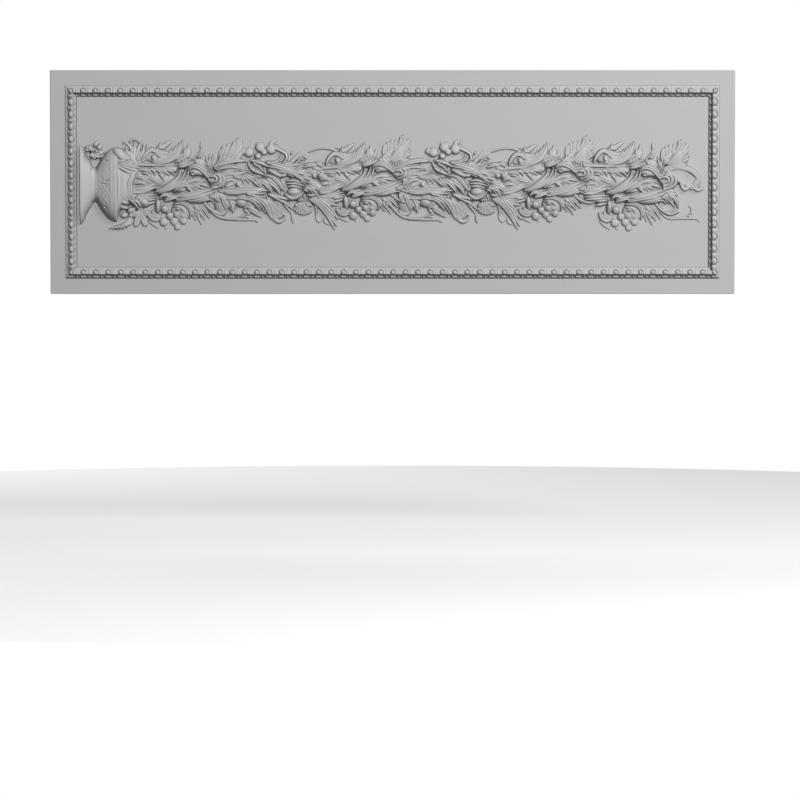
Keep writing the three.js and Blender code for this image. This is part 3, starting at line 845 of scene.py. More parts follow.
# %% Layout of the two boughs and the tendril
BERRY_BOUGH = [
    "berry",
    [5, 16, [39, 27.6]],
    [3.4, 12, [34.4, 28.6]],
    [4.8, 20, [50, 32.6]],
    [3.4, 16, [54, 28]],
    [3.4, 17, [48, 23.8]],
    [5.2, 19, [61, 30.8]],
    "strap",
    [1.6, 14, [60.6, 33], [61.6, 37], [63, 39.6]],
    [0.9, 10, [65, 34], [67, 37], [67.4, 39]],
    [0.9, 10, [47, 35], [47.4, 38]],
    [0.9, 10, [51.6, 35], [53.4, 37.4]],
    [1, 9, [56, 19], [64, 18.4], [69.6, 20.6], [71, 26]],
    [2.2, 15, [3, 13], [14, 17], [26, 19.2], [38, 18.4]],
    [1.5, 16, [6, 9.4], [15, 12.6], [24, 12.8], [31, 11]],
    [1.3, 17, [9, 6], [18, 9], [29, 10.2]],
    [1.6, 17, [5, 3.4], [16, 6], [30, 6.8], [38, 9]],
    [1.6, 16, [8, 2], [18, 3.6], [30, 4.8]],
    "stem",
    [1.6, 17, [64, 32.8], [71, 29.4], [75.8, 26], [76.4, 21], [72.6, 16.4]],
    "groove",
    [0.9, 3, [11, 7.8], [16, 10.4], [22, 11.2]],
    "strap",
    [1.3, 17, [40, 20], [52, 16.4], [60, 12.4]],
    [1.1, 18, [43, 17.4], [49, 12.6], [54, 8.4]],
    [1.5, 18, [40, 12], [47, 8.8], [54, 5]],
    [1.2, 18, [38, 17], [41, 12], [46, 7]],
    "groove",
    [0.7, 3, [33, 18.4], [38, 18]],
    [0.7, 3, [34.4, 15.4], [38.6, 15]],
    [0.7, 3, [36, 12.8], [40, 12.4]],
    [1, 4, [41.8, 14.4], [45.4, 10.4]],
    [0.9, 4, [46.8, 13.2], [50, 10.8]],
    [0.7, 3, [53.4, 8], [54, 6]],
    "strap",
    [1.7, 18, [56, 17.4], [66, 15.6], [78, 12.4], [90, 6.6]],
    [1.7, 18.5, [58, 13.6], [68, 12.6], [78, 9.4], [90, 3.4]],
    [1.5, 18, [66, 9.6], [74, 8.6], [81, 4.6]],
    [1.4, 15, [69, 4.4], [74, 4.6], [79, 6.6]],
    "pod",
    [8.4, 20, 2.8, -27, [64.6, 6.8]],
    "groove",
    [0.8, 4, [56, 8.4], [63, 3.8], [69, 1], [74.6, 1], [79, 4.6]],
    "strap",
    [2.2, 20, [54, 4.6], [61, 2.2], [68, -2.6], [74, -10.6]],
    [2.5, 19.5, [54, 0.6], [61, -2.6], [67, -8], [70, -14]],
    [2.7, 19, [49, 1], [54.6, -3], [59.6, -7.6], [62, -12.6]],
    [1.5, 18, [45, 2], [50, -3], [56, -8.6]],
    [1.4, 17, [42, 0], [47, -4], [52, -8]],
    "groove",
    [0.7, 3, [55, 3.6], [61.4, 0.6], [66.8, -4], [70.2, -8.4], [72.2, -12.4], [70.2, -15]],
    [0.8, 3, [54, -5.4], [55, -8.6]],
    "strap",
    [1.5, 18, [22, 3.6], [29, 2.6], [31.6, -2.6]],
    [1.5, 18, [27, 4.4], [33, 1.6], [34.4, -5]],
    [1.7, 18, [31, 5], [37.4, 1.4], [39.6, -4.6]],
    [1.9, 18.5, [34, 6], [41.4, 1.6], [44.4, -3.6]],
    [1.7, 18, [12, -8], [14.6, -2], [20.6, 0.4], [27, -0.4]],
    [1.7, 16.5, [15, -9], [19, -5], [24, -3.6]],
    [1.6, 17, [9, -7], [11, -1], [16, 2.4]],
    [1.3, 16, [0, -8.6], [5, -7.6], [12, -6.4]],
    [1.7, 18, [12, -9.4], [22, -10], [38, -9], [58, -8.6]],
    [1.8, 19, [8, -10.4], [20, -12.6], [38, -11], [60, -10.6]],
    [1.5, 20, [16, -13.6], [34, -13.4], [56, -13.4]],
    [1.4, 17.5, [30, -14.6], [42, -15.2], [52, -18]],
    "pod",
    [3.2, 18, 3.6, 0, [28.4, -4.6]],
    [18, 14, 8, 0, [31, -1]],
    "groove",
    [1, 5, [14, -13.6], [19, -15.6], [28, -15.6], [36, -14.6]],
    "strap",
    [1.5, 15, [10, -13.6], [17, -17.6], [26, -18], [34, -15.6]],
    [1.9, 16, [24, -20], [30, -17.4], [38, -19], [43, -23], [46, -25.4]],
    [2.1, 18, [36, -17], [44, -21], [48, -25.6], [50.6, -30.6]],
    [2, 18.5, [42, -17], [49, -21.6], [53, -27], [55.4, -33.4]],
    [2.6, 20, [46, -17], [54, -23], [58, -30], [61.6, -39]],
    [2, 18, [53, -18], [59, -25], [62, -31], [63, -35.6]],
    [1.4, 15, [63.4, -39.4], [68.6, -41.6], [72.8, -39.6], [75.4, -36]],
    [1.4, 16, [58, -14], [66, -18], [74, -23]],
    [1.4, 16, [60, -13], [70, -17.6], [85, -20]],
    "fan",
    [25, 13, -73, -47, 6, 1.5, [57, -17]],
    "groove",
    [0.7, 2.4, [66.6, -20.6], [69, -23.6]],
    "strap",
    [1.3, 13, [68, -18], [76, -23.6], [84, -29.6]],
    [1.1, 11, [72, -23], [77, -27.6], [81.6, -34]],
    [1.6, 17, [6, -12], [7, -18], [10.6, -23]],
    [1.9, 15, [8, -12], [12.6, -17.6], [14.6, -24.6], [17.6, -31]],
    [1.4, 14, [4.6, -30], [8, -34], [13.4, -34], [18, -30]],
    [1.8, 14, [13, -20], [16.6, -24.6], [19, -29]],
    [1.5, 15, [34, -27], [40, -22.6], [46, -20.6]],
    [2, 14, [33.6, -29], [37.6, -26], [45, -27]],
    [1.4, 11, [34, -28], [37, -31.6], [40, -33]],
    [2.5, 15, [38, -28.4], [44.6, -31.6], [51.6, -37]],
    "pod",
    [4.6, 11, 1.3, 98, [82.4, -38.4]],
    [9.4, 12, 6.4, 100, [10.4, -24]],
    [6.2, 15, 5, 0, [31.4, -22.6]],
    "frond",
    [4.2, 14, 3, [18.6, -18], [21.6, -24.6], [23.6, -33]],
]
TENDRIL = [
    "stem",
    [1.1, 14, [-4, -24.6], [1.4, -31], [8, -36.4], [16, -38.4], [26, -38.4], [33, -36], [39, -33.8]],
    [1.1, 12, [14, -38.6], [29, -39.6], [44, -40], [47.6, -41.6]],
    "strap",
    [1, 7, [30, -37.6], [36, -36.6], [41, -38.6]],
]
FLOWER_BOUGH = [
    "strap",
    [1.3, 8, [-5, 15.6], [1, 17.4], [6.4, 20.6]],
    [1.1, 8, [0, 18], [3, 20.6], [3.4, 23.4]],
    [1.8, 6, [2, 18.4], [6, 22], [10.6, 29]],
    [1.2, 11, [6, 12], [12, 13.4], [18, 15.4]],
    [1.7, 17, [13, 12], [19, 14.6], [26, 15], [31, 12.6]],
    [1.6, 17, [24, 14.6], [28.4, 16.4], [31.6, 14], [35.6, 9.6]],
    "pod",
    [2.2, 8, 1.3, 50, [2, 27]],
    [11, 16, 6.2, 0, [25, 8.6]],
    [5, 19, 4, 60, [31, 5]],
    [3.8, 18, 2, 10, [24.6, 11.8]],
    [3.6, 18, 3, 70, [24.4, 4.4]],
    "stem",
    [1.2, 10, [-4, 14.4], [4, 15.4], [9, 19.4], [14, 23.8]],
    [1.2, 10, [3, 14.4], [9, 15.4], [16, 17.6]],
    [1.1, 8, [51, 24.6], [45, 29.4], [38, 31.4], [28, 31], [19, 28]],
    [0.8, 6, [57, 31], [49, 31.6], [41, 32]],
    "berry",
    [1.9, 9, [15.8, 22.6]],
    [1.7, 9, [15.8, 17.8]],
    [1.3, 9, [12.6, 20.6]],
    "groove",
    [0.7, 4, [28, 13], [31, 12.4]],
    [0.8, 4, [26.4, 9.2], [30, 8.2]],
    [0.8, 3, [26, 6.8], [26.8, 6]],
    [0.5, 2, [30.4, 8.4], [31, 5.6]],
    "strap",
    [1.5, 19, [-6, 8.6], [3, 6.4], [10, 2.6], [17, -3]],
    [1.1, 18, [-2, 5], [5, 3.6], [11, -0.4], [15, -4]],
    [1.4, 18, [2, 8.6], [12, 6.4], [22, 3.6]],
    [1.3, 17, [4, 10.6], [12, 9], [20, 7.6]],
    [1.6, 17, [10, 4], [16, 2.4], [24, -1]],
    "groove",
    [0.9, 4.5, [3, 4.2], [6, 2.2], [10.4, -0.6]],
    "strap",
    [1, 13.5, [-4, -1], [4, -0.6], [13, -3.4]],
    [1, 13.5, [-4, -3.6], [5, -3.6], [14, -6]],
    [1, 13.5, [-3, -6.4], [5, -6.4], [12, -8.4]],
    [1.3, 19, [-5, -13], [-1, -17.4], [4, -18.4], [10, -15.6], [14.6, -10.6]],
    [1.4, 17, [16, -2.6], [24, -2.6], [31, -5.4]],
    [2, 18, [18, -4.6], [25, -6.4], [29, -9], [31, -13]],
    [1.6, 20, [15, -6], [21, -7.6], [25, -11.4], [26.6, -16]],
    [1.2, 19, [14, -7.6], [18.4, -8.8], [21.6, -11.4], [22.6, -14]],
    [1.1, 18, [13, -9.6], [16.4, -10.4], [18, -12.6]],
    [1.1, 18, [17, -15], [22, -15.4], [27, -13.8]],
    [1.3, 16, [23, -4], [30, -6.6], [34, -11]],
    "pod",
    [6.6, 17.5, 4.4, 8, [3.4, -12]],
    "groove",
    [0.7, 3, [33, -0.6], [35.4, -0.6], [38, -2.8]],
    "seeds",
    [5.4, 13, 4.6, [13.6, -21]],
    "groove",
    [1.2, 5, [12.2, -17.2], [12.8, -17.6]],
    "fan",
    [11.6, 12, -146, -48, 7, 1.5, [13.2, -23.6]],
    [9, 13, -160, -20, 6, 1.5, [13.2, -22.6]],
    "strap",
    [1.9, 18, [19, -18.6], [29, -25], [36, -33], [40.6, -41], [44.4, -49]],
    [2.2, 18, [21, -18], [32, -25], [39.4, -33], [43.6, -40], [46.4, -46]],
    [2.4, 17, [24, -18], [34, -23.6], [42, -31.6], [48.4, -39.4]],
    [2, 15, [27, -19.4], [37, -22.6], [48, -25.4]],
    [1.6, 15, [27, -16.4], [36, -18.6], [47, -21]],
    [1.2, 9, [24, -24], [26.4, -30], [25.4, -36.4]],
    [1.2, 8, [25.6, -37], [29, -41.4], [32.6, -39.6]],
    [1.4, 8, [34, -38], [35.6, -42], [39.6, -45]],
]
print("laid out: the two boughs and the tendril")

# %% Layout of the ribbon end
RIBBON_END = [
    "ribbon",
    [2.3, 13, [6, 10], [15, 12.8], [23, 12], [31, 9], [36.6, 4], [37.8, -0.6], [35, -3.8]],
    [5.6, 10.6, [8, 8.4], [18, 6], [26, 0.6], [33, -4]],
    "groove",
    [0.5, 1, [11, 11.6], [17, 11], [24, 9.6], [29.4, 7.4], [33.6, 4], [36.6, 0.2]],
    "ribbon",
    [
        1.6, 11, [5, 6.4], [13.4, 4.4], [18, 0], [20.4, -1.6], [22, -6.4],
        [25, -9], [31.4, -5.6], [37, -9.6], [41, -8.4],
    ],
    "strap",
    [1, 10, [16.6, 1], [18.6, 2.6], [20, 4.4]],
    [1.4, 13, [3, -8], [9, -9.2], [15, -12]],
    [1.5, 13, [3, -9], [10, -12], [17, -15]],
    [1.6, 12.5, [4, -10], [11, -14.6], [17.6, -19.6]],
    [1.6, 12, [4, -10], [10, -16], [15.6, -23.4]],
    [1.7, 12, [3.6, -11], [9, -18], [14.6, -28]],
    [1.5, 12, [2.6, -12], [6.6, -18], [9, -24]],
    [1.5, 13, [-2, -15.6], [3, -18.4], [6.4, -23]],
    [1, 8, [6, -32.6], [10, -31.8], [13.4, -29.4]],
    [1, 5, [29, -34], [31, -33.2], [33.4, -33.8]],
    "arcs",
    [9, 14, -85, 60, 3, [3, 0]],
    "stem",
    [1.1, 9, [-5, -23], [0, -30], [8, -34.5], [16, -31]],
    [1.1, 8, [-1, -31], [8, -38], [20, -38.5], [36, -39], [39, -41.6]],
    [0.9, 6, [20, -38], [28, -35.4], [31, -31], [31, -28], [29, -26]],
    "berry",
    [1.1, 5, [29.4, -36.6]],
]
print("laid out: the ribbon end")

# %% Layout of the lines and flowers on the urn
BELLY_LINES = [
    "groove",
    [0.6, 0.45, [29, 12], [31.2, 8], [30.6, 2.5], [27.4, -1.2]],
    [0.6, 0.45, [24, 12], [21.8, 8], [21.8, 2], [24, -1]],
    [0.6, 1.8, [25.5, 19.4], [28, 19.2]],
    [0.6, 1.8, [21.5, -4], [24, -3.4], [27, -4.4]],
    [0.6, 1.8, [26.5, -1.8], [28.6, -0.2]],
    [0.6, 0.45, [25, -5], [30.5, -12], [32, -18]],
    [0.6, 0.45, [21.5, -9], [25, -16], [30, -22]],
    [0.6, 0.45, [23, -6.5], [27, -13.5], [31, -20]],
    [0.6, 0.45, [20.6, -12], [23, -19], [27, -24]],
    [0.6, 1.8, [25.4, -26.5], [27.2, -27.6], [27, -29.4]],
    [0.6, 1.8, [11.4, 19], [11.4, 15]],
    [0.6, 1.1, [5, 34], [7, 27], [9.5, 22]],
]
URN_DRESS = [
    "pod",
    [9.4, 23.6, 6, -40, [40.6, 24.6]],
    [5, 23, 2.7, -6, [44.8, -22.4]],
    [4.4, 19, 1.7, -8, [44.2, -27.6]],
    [3.9, 14, 2.9, 18, [44.6, -35.2]],
    [4.3, 19, 3, 26, [51.4, -30.4]],
    [5.6, 22, 4.6, -20, [63.8, -22.8]],
    "ribbon",
    [3.3, 25.5, [36.6, 17], [45.5, 12.6], [54.5, 8.6]],
    [1.9, 25, [48, 5], [51.5, 6.4], [53, 3], [50.6, -2], [50.4, -8], [50.8, -15], [48, -19]],
    "strap",
    [1.5, 27, [37, 18.6], [47, 15.6], [59, 12]],
    [1.3, 26.5, [38, 16.2], [47, 12.4], [57, 9]],
    [1.2, 26, [37, 14.4], [44, 10.6], [52, 5]],
    [2, 24, [55, 15], [50, 18], [44, 20.5]],
    [1.7, 12, [55.5, 17], [53.6, 27], [49.4, 35], [43.4, 38]],
    [1.9, 13, [55.2, 17], [57.8, 26], [59.4, 33], [63, 38]],
    [1.7, 14, [55.6, 17], [61.2, 25], [64, 31], [63.6, 36]],
    [1.8, 13, [56, 16.6], [63, 23], [67.2, 29], [67.4, 36]],
    [1.7, 13, [57, 16], [64.6, 20.6], [70.6, 27], [72, 33]],
    [1.3, 24, [49.4, -19], [54.6, -23], [59, -29]],
    [1.3, 24, [52.4, -18.4], [57.6, -22], [62, -27.6]],
    [1.7, 22, [56.6, -16], [58.6, -18.6], [59.6, -22]],
    "blade",
    [5, 13, 3, [55, 17], [54.4, 28], [55, 39]],
    "arcs",
    [5, 14, 25, 155, 1, [55, 35.6]],
    "frond",
    [2.6, 15, 0, [54.6, 17], [51.6, 23], [47.6, 28], [46, 33]],
    "fan",
    [15.6, 15, -108, -68, 2, 2.7, [60.2, -31.4]],
    [11.6, 14, -158, -20, 4, 2.5, [60.2, -31.4]],
    "berry",
    [3.3, 16.5, [60.4, -30.8]],
    "groove",
    [2.1, 5, [60.2, -30.8], [60.6, -30.8]],
    "strap",
    [2.3, 11, [50.4, -36.6], [48.6, -42.4], [40.6, -45.8]],
    [1.7, 8, [68.4, -39.6], [73, -43], [78.4, -48.2]],
    [1.7, 13, [14.6, 32.4], [16.6, 36], [19.2, 38.6]],
    [1.7, 13, [17.6, 30], [20, 32.8], [22.8, 34.4]],
    [1.7, 14, [17, 27], [20.6, 27], [24.2, 28.8]],
    [1.7, 15, [14.6, 27], [18, 24], [21.8, 23.2]],
    [1.6, 16, [14, 26], [14.8, 23], [16.4, 20.8]],
    [1.6, 17, [12.6, 27], [12.4, 24], [11.6, 21.4]],
    [1.5, 14, [15, 29], [12, 31], [10.6, 35]],
    "frond",
    [2.8, 8, 7, [54, -40.6], [43, -46], [29, -48.4]],
    "berry",
    [1.8, 16, [16.6, 28.8]],
    "curl",
    [3.2, 15, 200, 1.1, [8.6, 31.6]],
]
print("laid out: the lines and flowers on the urn")

# %% [markdown]
# ## The urn
#
# The urn lies on its side, so its outline is a half width for each place along the panel. A true
# half of a turned urn would stand sixty millimetres proud. A carver flattens it: the same full curve across,
# but its depth only follows the half width in part. The bands and the rope are small rises and grooves
# added on that surface, and the lines drawn on its belly are cut by the layout.

# %% Urn
FIELD_HALF_HEIGHT = 92.0
URN_AXIS = -4.6
URN_LENGTH = 60
FOOT_SLOPE = 14.0
FULLNESS = 3
URN_OUTLINE = [
    [-0.3, 38.5], [0.6, 39.5], [1.5, 39.5], [3.8, 37], [6, 30.5], [10, 24.3], [11.5, 22], [12, 19.5],
    [13.8, 17.6], [16, 16.7], [17.4, 18.7], [20.4, 24.7], [24.1, 29.8], [27.8, 34], [31.5, 36.2],
    [34.5, 37.2], [37.3, 37.2], [38.2, 31.3], [39.3, 27.6], [41.1, 25.4], [49, 20], [54, 18], [60, 18],
]
URN_MOUTH = [[-17, 53.8], [-4.7, 52.8], [13, 58.4]]
URN_DEPTH = [
    [0, 0.94], [1.5, 1], [6, 0.9], [11.4, 0.78], [12, 0.74], [16, 0.66], [20, 0.75], [24, 0.84], [28, 0.91],
    [32, 0.965], [37.3, 1], [38.2, 0.93], [41, 0.9], [49, 0.82], [54, 0.78], [60, 0.74],
]
# Where each band runs and its half width, in squares, and its rise in millimetres
URN_BANDS = [
    [1.2, 0.9, 0.7], [11.6, 0.5, -0.9], [16.4, 0.9, 0.6],
    [31.5, 0.5, 0.5], [37.6, 0.6, -1.6], [39.4, 0.9, 0.6],
]
ROPE_AT = 42.4
ROPE_HALF = 1.2
ROPE_RISE = 0.7
ROPE_STRAND = 1.4
ROPE_REACH = 15


def carve_urn(relief):
    """Height = depth * sqrt(1 - t^3) across the axis, with the bands added, the rope as a cosine along a
    slanting line, and the slanting mouth cut off"""
    mouth_x = FOOT_X + URN_LENGTH * SQUARE
    window = relief.window((FOOT_X - REACH, -FIELD_HALF_HEIGHT), (mouth_x, FIELD_HALF_HEIGHT))
    x, z = relief.places(window)
    along = (x - FOOT_X) / SQUARE
    across = (z - CARVING_RISE) / SQUARE - URN_AXIS
    half = np.interp(along, *zip(*URN_OUTLINE))
    t = np.abs(across) / half
    depth = URN_RELIEF * np.interp(along, *zip(*URN_DEPTH))
    for place, band_half, rise in URN_BANDS:
        depth += rise * ring(along - place, band_half)
    strands = np.cos(np.pi * (across + along) / ROPE_STRAND) * (np.abs(across) < ROPE_REACH)
    depth += ROPE_RISE * strands * ring(along - ROPE_AT, ROPE_HALF)
    height = depth * np.sqrt(np.clip(1 - t**FULLNESS, 0, 1))
    mouth = np.interp(across + URN_AXIS, *zip(*URN_MOUTH))
    height -= CUTTER_SLOPE * SQUARE * np.maximum(along - mouth, 0)
    height -= CUTTER_SLOPE * SQUARE * np.maximum(np.abs(across) - half, 0)
    height -= FOOT_SLOPE * np.maximum(FOOT_X - x, 0)
    relief.raise_to(window, height)


print(f"urn outline of {len(URN_OUTLINE)} points, {len(URN_BANDS)} bands")


# %% Carve and finish the field
GOUGE_REACH = 4.0
GOUGE_DEPTH = 1.4
MASS_STARTS = 7.0
THIN_SLOPE = 2
SOFTENED = 0.25
OUTER_FALL = 0.65
FALL_START = 15.0
FALL_WIDTH = 26.0
URN_ENDS = 40.8
URN_EASE = 12


def carve(relief, layout, x, z, turn=0.0, squash=1.0):
    """Every row of a layout, set at a point in squares from the urn's foot, turned and squashed in z"""
    c, s = math.cos(math.radians(turn)), math.sin(math.radians(turn))
    for row in layout:
        if isinstance(row, str):
            cut = CUTS[row]
            continue
        half, height, *details = [value for value in row if not isinstance(value, list)]
        along, up = np.array([value for value in row if isinstance(value, list)], float).T
        points = np.stack([x + along * c - squash * up * s, z + along * s + squash * up * c], 1) * SQUARE
        cut(relief, points + [FOOT_X, CARVING_RISE], half * SQUARE, height * STEP, turn, *details)


def box_blur(height, cells):
    """Mean height over a square around each point, taken from running sums"""
    size = 2 * cells + 1
    for axis in (0, 1):
        edge = [(0, 0), (0, 0)]
        edge[axis] = (cells + 1, cells)
        sums = np.cumsum(np.pad(height, edge, mode="edge"), axis=axis)
        upper = np.take(sums, range(size, sums.shape[axis]), axis)
        lower = np.take(sums, range(0, sums.shape[axis] - size), axis)
        height = (upper - lower) / size
    return height


def lower_outskirts(relief):
    """The spray is highest along its middle and falls to a third towards the tips of its leaves"""
    off_middle = np.abs(relief.z - CARVING_RISE)[:, None] / SQUARE
    fall = OUTER_FALL * ease((off_middle - FALL_START) / FALL_WIDTH)
    beside_urn = ease(((relief.x[None, :] - FOOT_X) / SQUARE - URN_ENDS) / URN_EASE)
    relief.height = np.where(relief.height > 0, relief.height * (1 - fall * beside_urn), relief.height)


def finish_cut(relief):
    """What the tools leave: within the mass of the spray no gap is much deeper than a gouge reaches, and no
    edge is keener than its radius"""
    cells = round(GOUGE_REACH / GRID_STEP)
    around_it = box_blur(box_blur(np.maximum(relief.height, 0), cells), cells)
    thin = np.maximum(MASS_STARTS - around_it, 0)
    relief.height = np.maximum(relief.height, around_it - GOUGE_DEPTH - THIN_SLOPE * thin)
    relief.height = (1 - SOFTENED) * relief.height + SOFTENED * box_blur(relief.height, 1)


# Each layout with its place in squares and, where it has them, its turn and squash
SETTINGS = [
    (BELLY_LINES, 0, 0), (URN_DRESS, 0, 0),
    (STALK, 50, 0), (BUD_CREST, 50, 0), (FAN_CREST, 50, 0),
    (STALK, 235.5, -2.5, 6, 0.88), (LEAF_CREST, 235, 0), (SEED_CREST, 235, 0),
    (STALK, 418, -3, 6, 0.88), (LEAF_CREST, 417.5, -1), (SEED_CREST, 417.5, -1),
    (STALK, 501, -1), (BUD_CREST, 501, -1),
    (BERRY_BOUGH, 130, 0), (TENDRIL, 130, 0), (BERRY_BOUGH, 314, 0), (TENDRIL, 314, 0),
    (FLOWER_BOUGH, 210, 0), (FLOWER_BOUGH, 393, 0),
    (LEAF_CREST, 513, -4.5), (RIBBON_END, 580, 0),
]
FIELD_LEFT = FOOT_X - 4 * SQUARE
FIELD_RIGHT = FOOT_X + (SQUARES_ALONG + 6) * SQUARE
field = Relief(FIELD_LEFT, FIELD_RIGHT, -FIELD_HALF_HEIGHT, FIELD_HALF_HEIGHT)
carve_urn(field)
for layout, *setting in SETTINGS:
    carve(field, layout, *setting)
lower_outskirts(field)
finish_cut(field)
print("cuts in the field:", sum(isinstance(row, list) for layout, *_ in SETTINGS for row in layout))
print("field carved on", field.height.shape, "points, highest", round(float(field.height.max()), 1), "mm")

# %% [markdown]
# ## Meshes of the carving
#
# The height array becomes five sheets side by side. Neighbours share their border points and take their
# normals from the whole array, so no seam shows. Cells that lie on the bare ground are left out, because
# the board's face is the ground there, and the rim of every sheet ends a little under that face.

# %% Sheets
STEEP_POWER = 0.72
HOLLOW_SHARE = 0.5
HOLLOW_FULL = 4.0
EDGE_START = 0.8
EDGE_FULL = 3.0
FIELD_CELLS = 4
SHEETS = 5
UPRIGHT = 0.05


def finished(name, mesh, material):
    """Object of a mesh with its finish, tied to the frame's one body"""
    mesh.materials.append(material)
    piece = bpy.data.objects.new(name, mesh)
    bpy.context.collection.objects.link(piece)
    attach(piece, "root")
    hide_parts("carved_panel")
    print(name, len(mesh.polygons), "faces")


def sheet(name, points, keep, hollow, edge):
    """Mesh of four-sided faces over the kept cells of a grid of points in millimetres. The normal is the
    cross product of the two directions of the grid, which faces the front. Shade is painted into the colour:
    it darkens with the hollow and with how steep the surface is."""
    along = np.gradient(points, axis=1)
    across = np.gradient(points, axis=0)
    normals = np.cross(along, across)
    normals /= np.linalg.norm(normals, axis=2, keepdims=True)
    # Painted shade: the more steeply the surface turns away from the front, the darker its colour, and the
    # hollows add to it
    steep_shade_factor = np.clip(-normals[:, :, 1], 0, 1) ** STEEP_POWER
    hollow = 1 - (1 - HOLLOW_SHARE * hollow) * steep_shade_factor
    number = np.arange(points.shape[0] * points.shape[1]).reshape(points.shape[:2])
    quads = np.stack([number[:-1, :-1], number[:-1, 1:], number[1:, 1:], number[1:, :-1]], 2)[keep]
    used, corners = np.unique(quads, return_inverse=True)
    mesh = bpy.data.meshes.new(name)
    mesh.vertices.add(len(used))
    mesh.vertices.foreach_set("co", (points.reshape(-1, 3)[used] * MM).ravel())
    mesh.loops.add(quads.size)
    mesh.loops.foreach_set("vertex_index", corners.ravel())
    mesh.polygons.add(len(quads))
    mesh.polygons.foreach_set("loop_start", np.arange(0, quads.size, 4))
    mesh.update(calc_edges=True)
    for label, values in (("hollow", hollow), ("edge", edge)):
        mesh.attributes.new(label, "FLOAT", "POINT").data.foreach_set("value", values.ravel()[used])
    mesh.polygons.foreach_set("use_smooth", np.ones(len(quads), bool))
    mesh.normals_split_custom_set_from_vertices(normals.reshape(-1, 3)[used])
    finished(name, mesh, carved_primer_with_painted_shade)


def wear(height, cells):
    """How hollow and how proud each point is against the mean height around it, both from 0 to 1. The first
    sets the painted shade in hollows, the second a painted highlight with some wear on proud edges.
    """
    above = np.maximum(height, 0) - box_blur(np.maximum(height, 0), cells)
    return np.clip(-above / HOLLOW_FULL, 0, 1), np.clip((above - EDGE_START) / EDGE_FULL, 0, 1)


hollow, edge = wear(field.height, FIELD_CELLS)
field_x, field_z = np.meshgrid(field.x, field.z)
# The columns left of the foot are drawn together, so that the foot stands nearly upright
field_x = np.where(field_x < FOOT_X, FOOT_X + UPRIGHT * (field_x - FOOT_X), field_x)
surface = np.stack([field_x, -BOARD_THICKNESS - field.height, field_z], 2)
raised = np.maximum(field.height, -BURIED) > -BURIED / 2
keep = raised[:-1, :-1] | raised[:-1, 1:] | raised[1:, 1:] | raised[1:, :-1]
surface[:, :, 1] = np.minimum(surface[:, :, 1], BURIED - BOARD_THICKNESS)
ends = np.linspace(0, len(field.x) - 1, SHEETS + 1).astype(int)
for number, (first, last) in enumerate(zip(ends, ends[1:]), 1):
    mine = np.zeros_like(keep)
    mine[:, first:last] = keep[:, first:last]
    sheet(f"carving_{number}", surface, mine, hollow, edge)

# %% [markdown]
# ## The border
#
# Egg and dart is one figure repeated along a moulding: an egg in a cup, then a dart. Its height is a rule of
# two numbers, the distance to the nearest egg's middle along the side and the distance across from the
# side where the eggs' round ends are, so every egg is alike. The ring of points turns the corners on a
# mitre, as a moulding does.

# %% Border profile
EGG_PITCH = 21.6
EGG_ACROSS = 9.6
EGG_LOW = 3.4
EGG_SWELL = 5.2
CUP_AT = 1.14
CUP_HALF = 0.13
CUP_DEPTH = 2.4
DART_RISE = 0.8
DART_HALF = 0.9
DART_SIDE = 2.2
SIDE_DEPTH = 0.5
SIDE_HALF = 0.8
SWELL_FROM = 2.0
SWELL_TO = 14.5
SWELL_EASE = (2.0, 1.5)
BASE_ROW = (15.2, 18.7)
BASE_RISE = 2.7
BAR_SPREAD = 0.4
TRIANGLE = (0.3, 3.2)
BASE_EDGE = 0.6
BASE_EASE = 0.7
BORDER_END = 20.6
MOULDING = [
    [0, 0.8], [4, 2.8], [5.5, 4.2], [8.5, 6.0], [11, 7.0], [12.8, 6.8], [14.0, 2.2], [14.8, 0.2], [20.8, 0.1],
]


def border_height(from_egg, across, side):
    """Height over the ground at a distance along from the nearest egg's middle and across from the side where
    the eggs' round ends are: the moulding's profile, a groove round the egg, the egg's dome, a thin dart
    between two eggs and a row of small bars and triangles at the eggs' flat ends. The egg is the oval
    |along|^n + |across|^n < 1, with n = 2 on the long sides and the squarer n = 3 on the short ones."""
    from_dart = EGG_PITCH / 2 - np.abs(from_egg)
    height = np.interp(across, *zip(*MOULDING))
    height = np.maximum(height, side["floor"] * (across < BASE_ROW[1]))
    on_swell = ease((across - SWELL_FROM) / SWELL_EASE[0]) * ease((SWELL_TO - across) / SWELL_EASE[1])
    half_along, half_across = side["egg"]
    square = side["square"]
    egg = np.abs(from_egg / half_along) ** square + np.abs((across - EGG_ACROSS) / half_across) ** square
    egg **= 1 / square
    height -= CUP_DEPTH * ring(egg - CUP_AT, CUP_HALF) * on_swell
    height = np.maximum(height, EGG_LOW * (egg < 1) + EGG_SWELL * np.sqrt(np.clip(1 - egg**2, 0, 1)))
    dart = DART_RISE * ring(from_dart, DART_HALF) - SIDE_DEPTH * ring(from_dart - DART_SIDE, SIDE_HALF)
    height += on_swell * dart
    bar = np.interp(across, BASE_ROW, (side["bar"] - BAR_SPREAD, side["bar"] + BAR_SPREAD)) - np.abs(from_egg)
    triangle = np.interp(across, BASE_ROW, TRIANGLE) - from_dart
    inside = np.clip(np.maximum(bar, triangle) / BASE_EDGE, 0, 1)
    in_row = ease((across - BASE_ROW[0]) / BASE_EASE) * ease((BASE_ROW[1] - across) / BASE_EDGE)
    height = np.maximum(height, BASE_RISE * inside * in_row)
    return height - CUTTER_SLOPE * (np.maximum(-across, 0) + np.maximum(across - BORDER_END, 0))


print(f"one egg every {EGG_PITCH} mm")


# %% Border round the panel
STEP_ALONG = 0.96
STEP_ACROSS = 0.75
# Painted shade on the border: the lower the ground between its forms, below this height, the darker its
# colour
GROOVE_TOP = 1.7
GROOVE_SHADE = 1.9
BORDER_CELLS = 3
OVERLAP = (1.5, 2.6)
MITRE_REACH = BORDER_WIDTH + 3
FROM_OUTSIDE = {"way": 1, "start": -1.1, "floor": 0.2}
FROM_INSIDE = {"way": -1, "start": 21.2, "floor": 0.2}
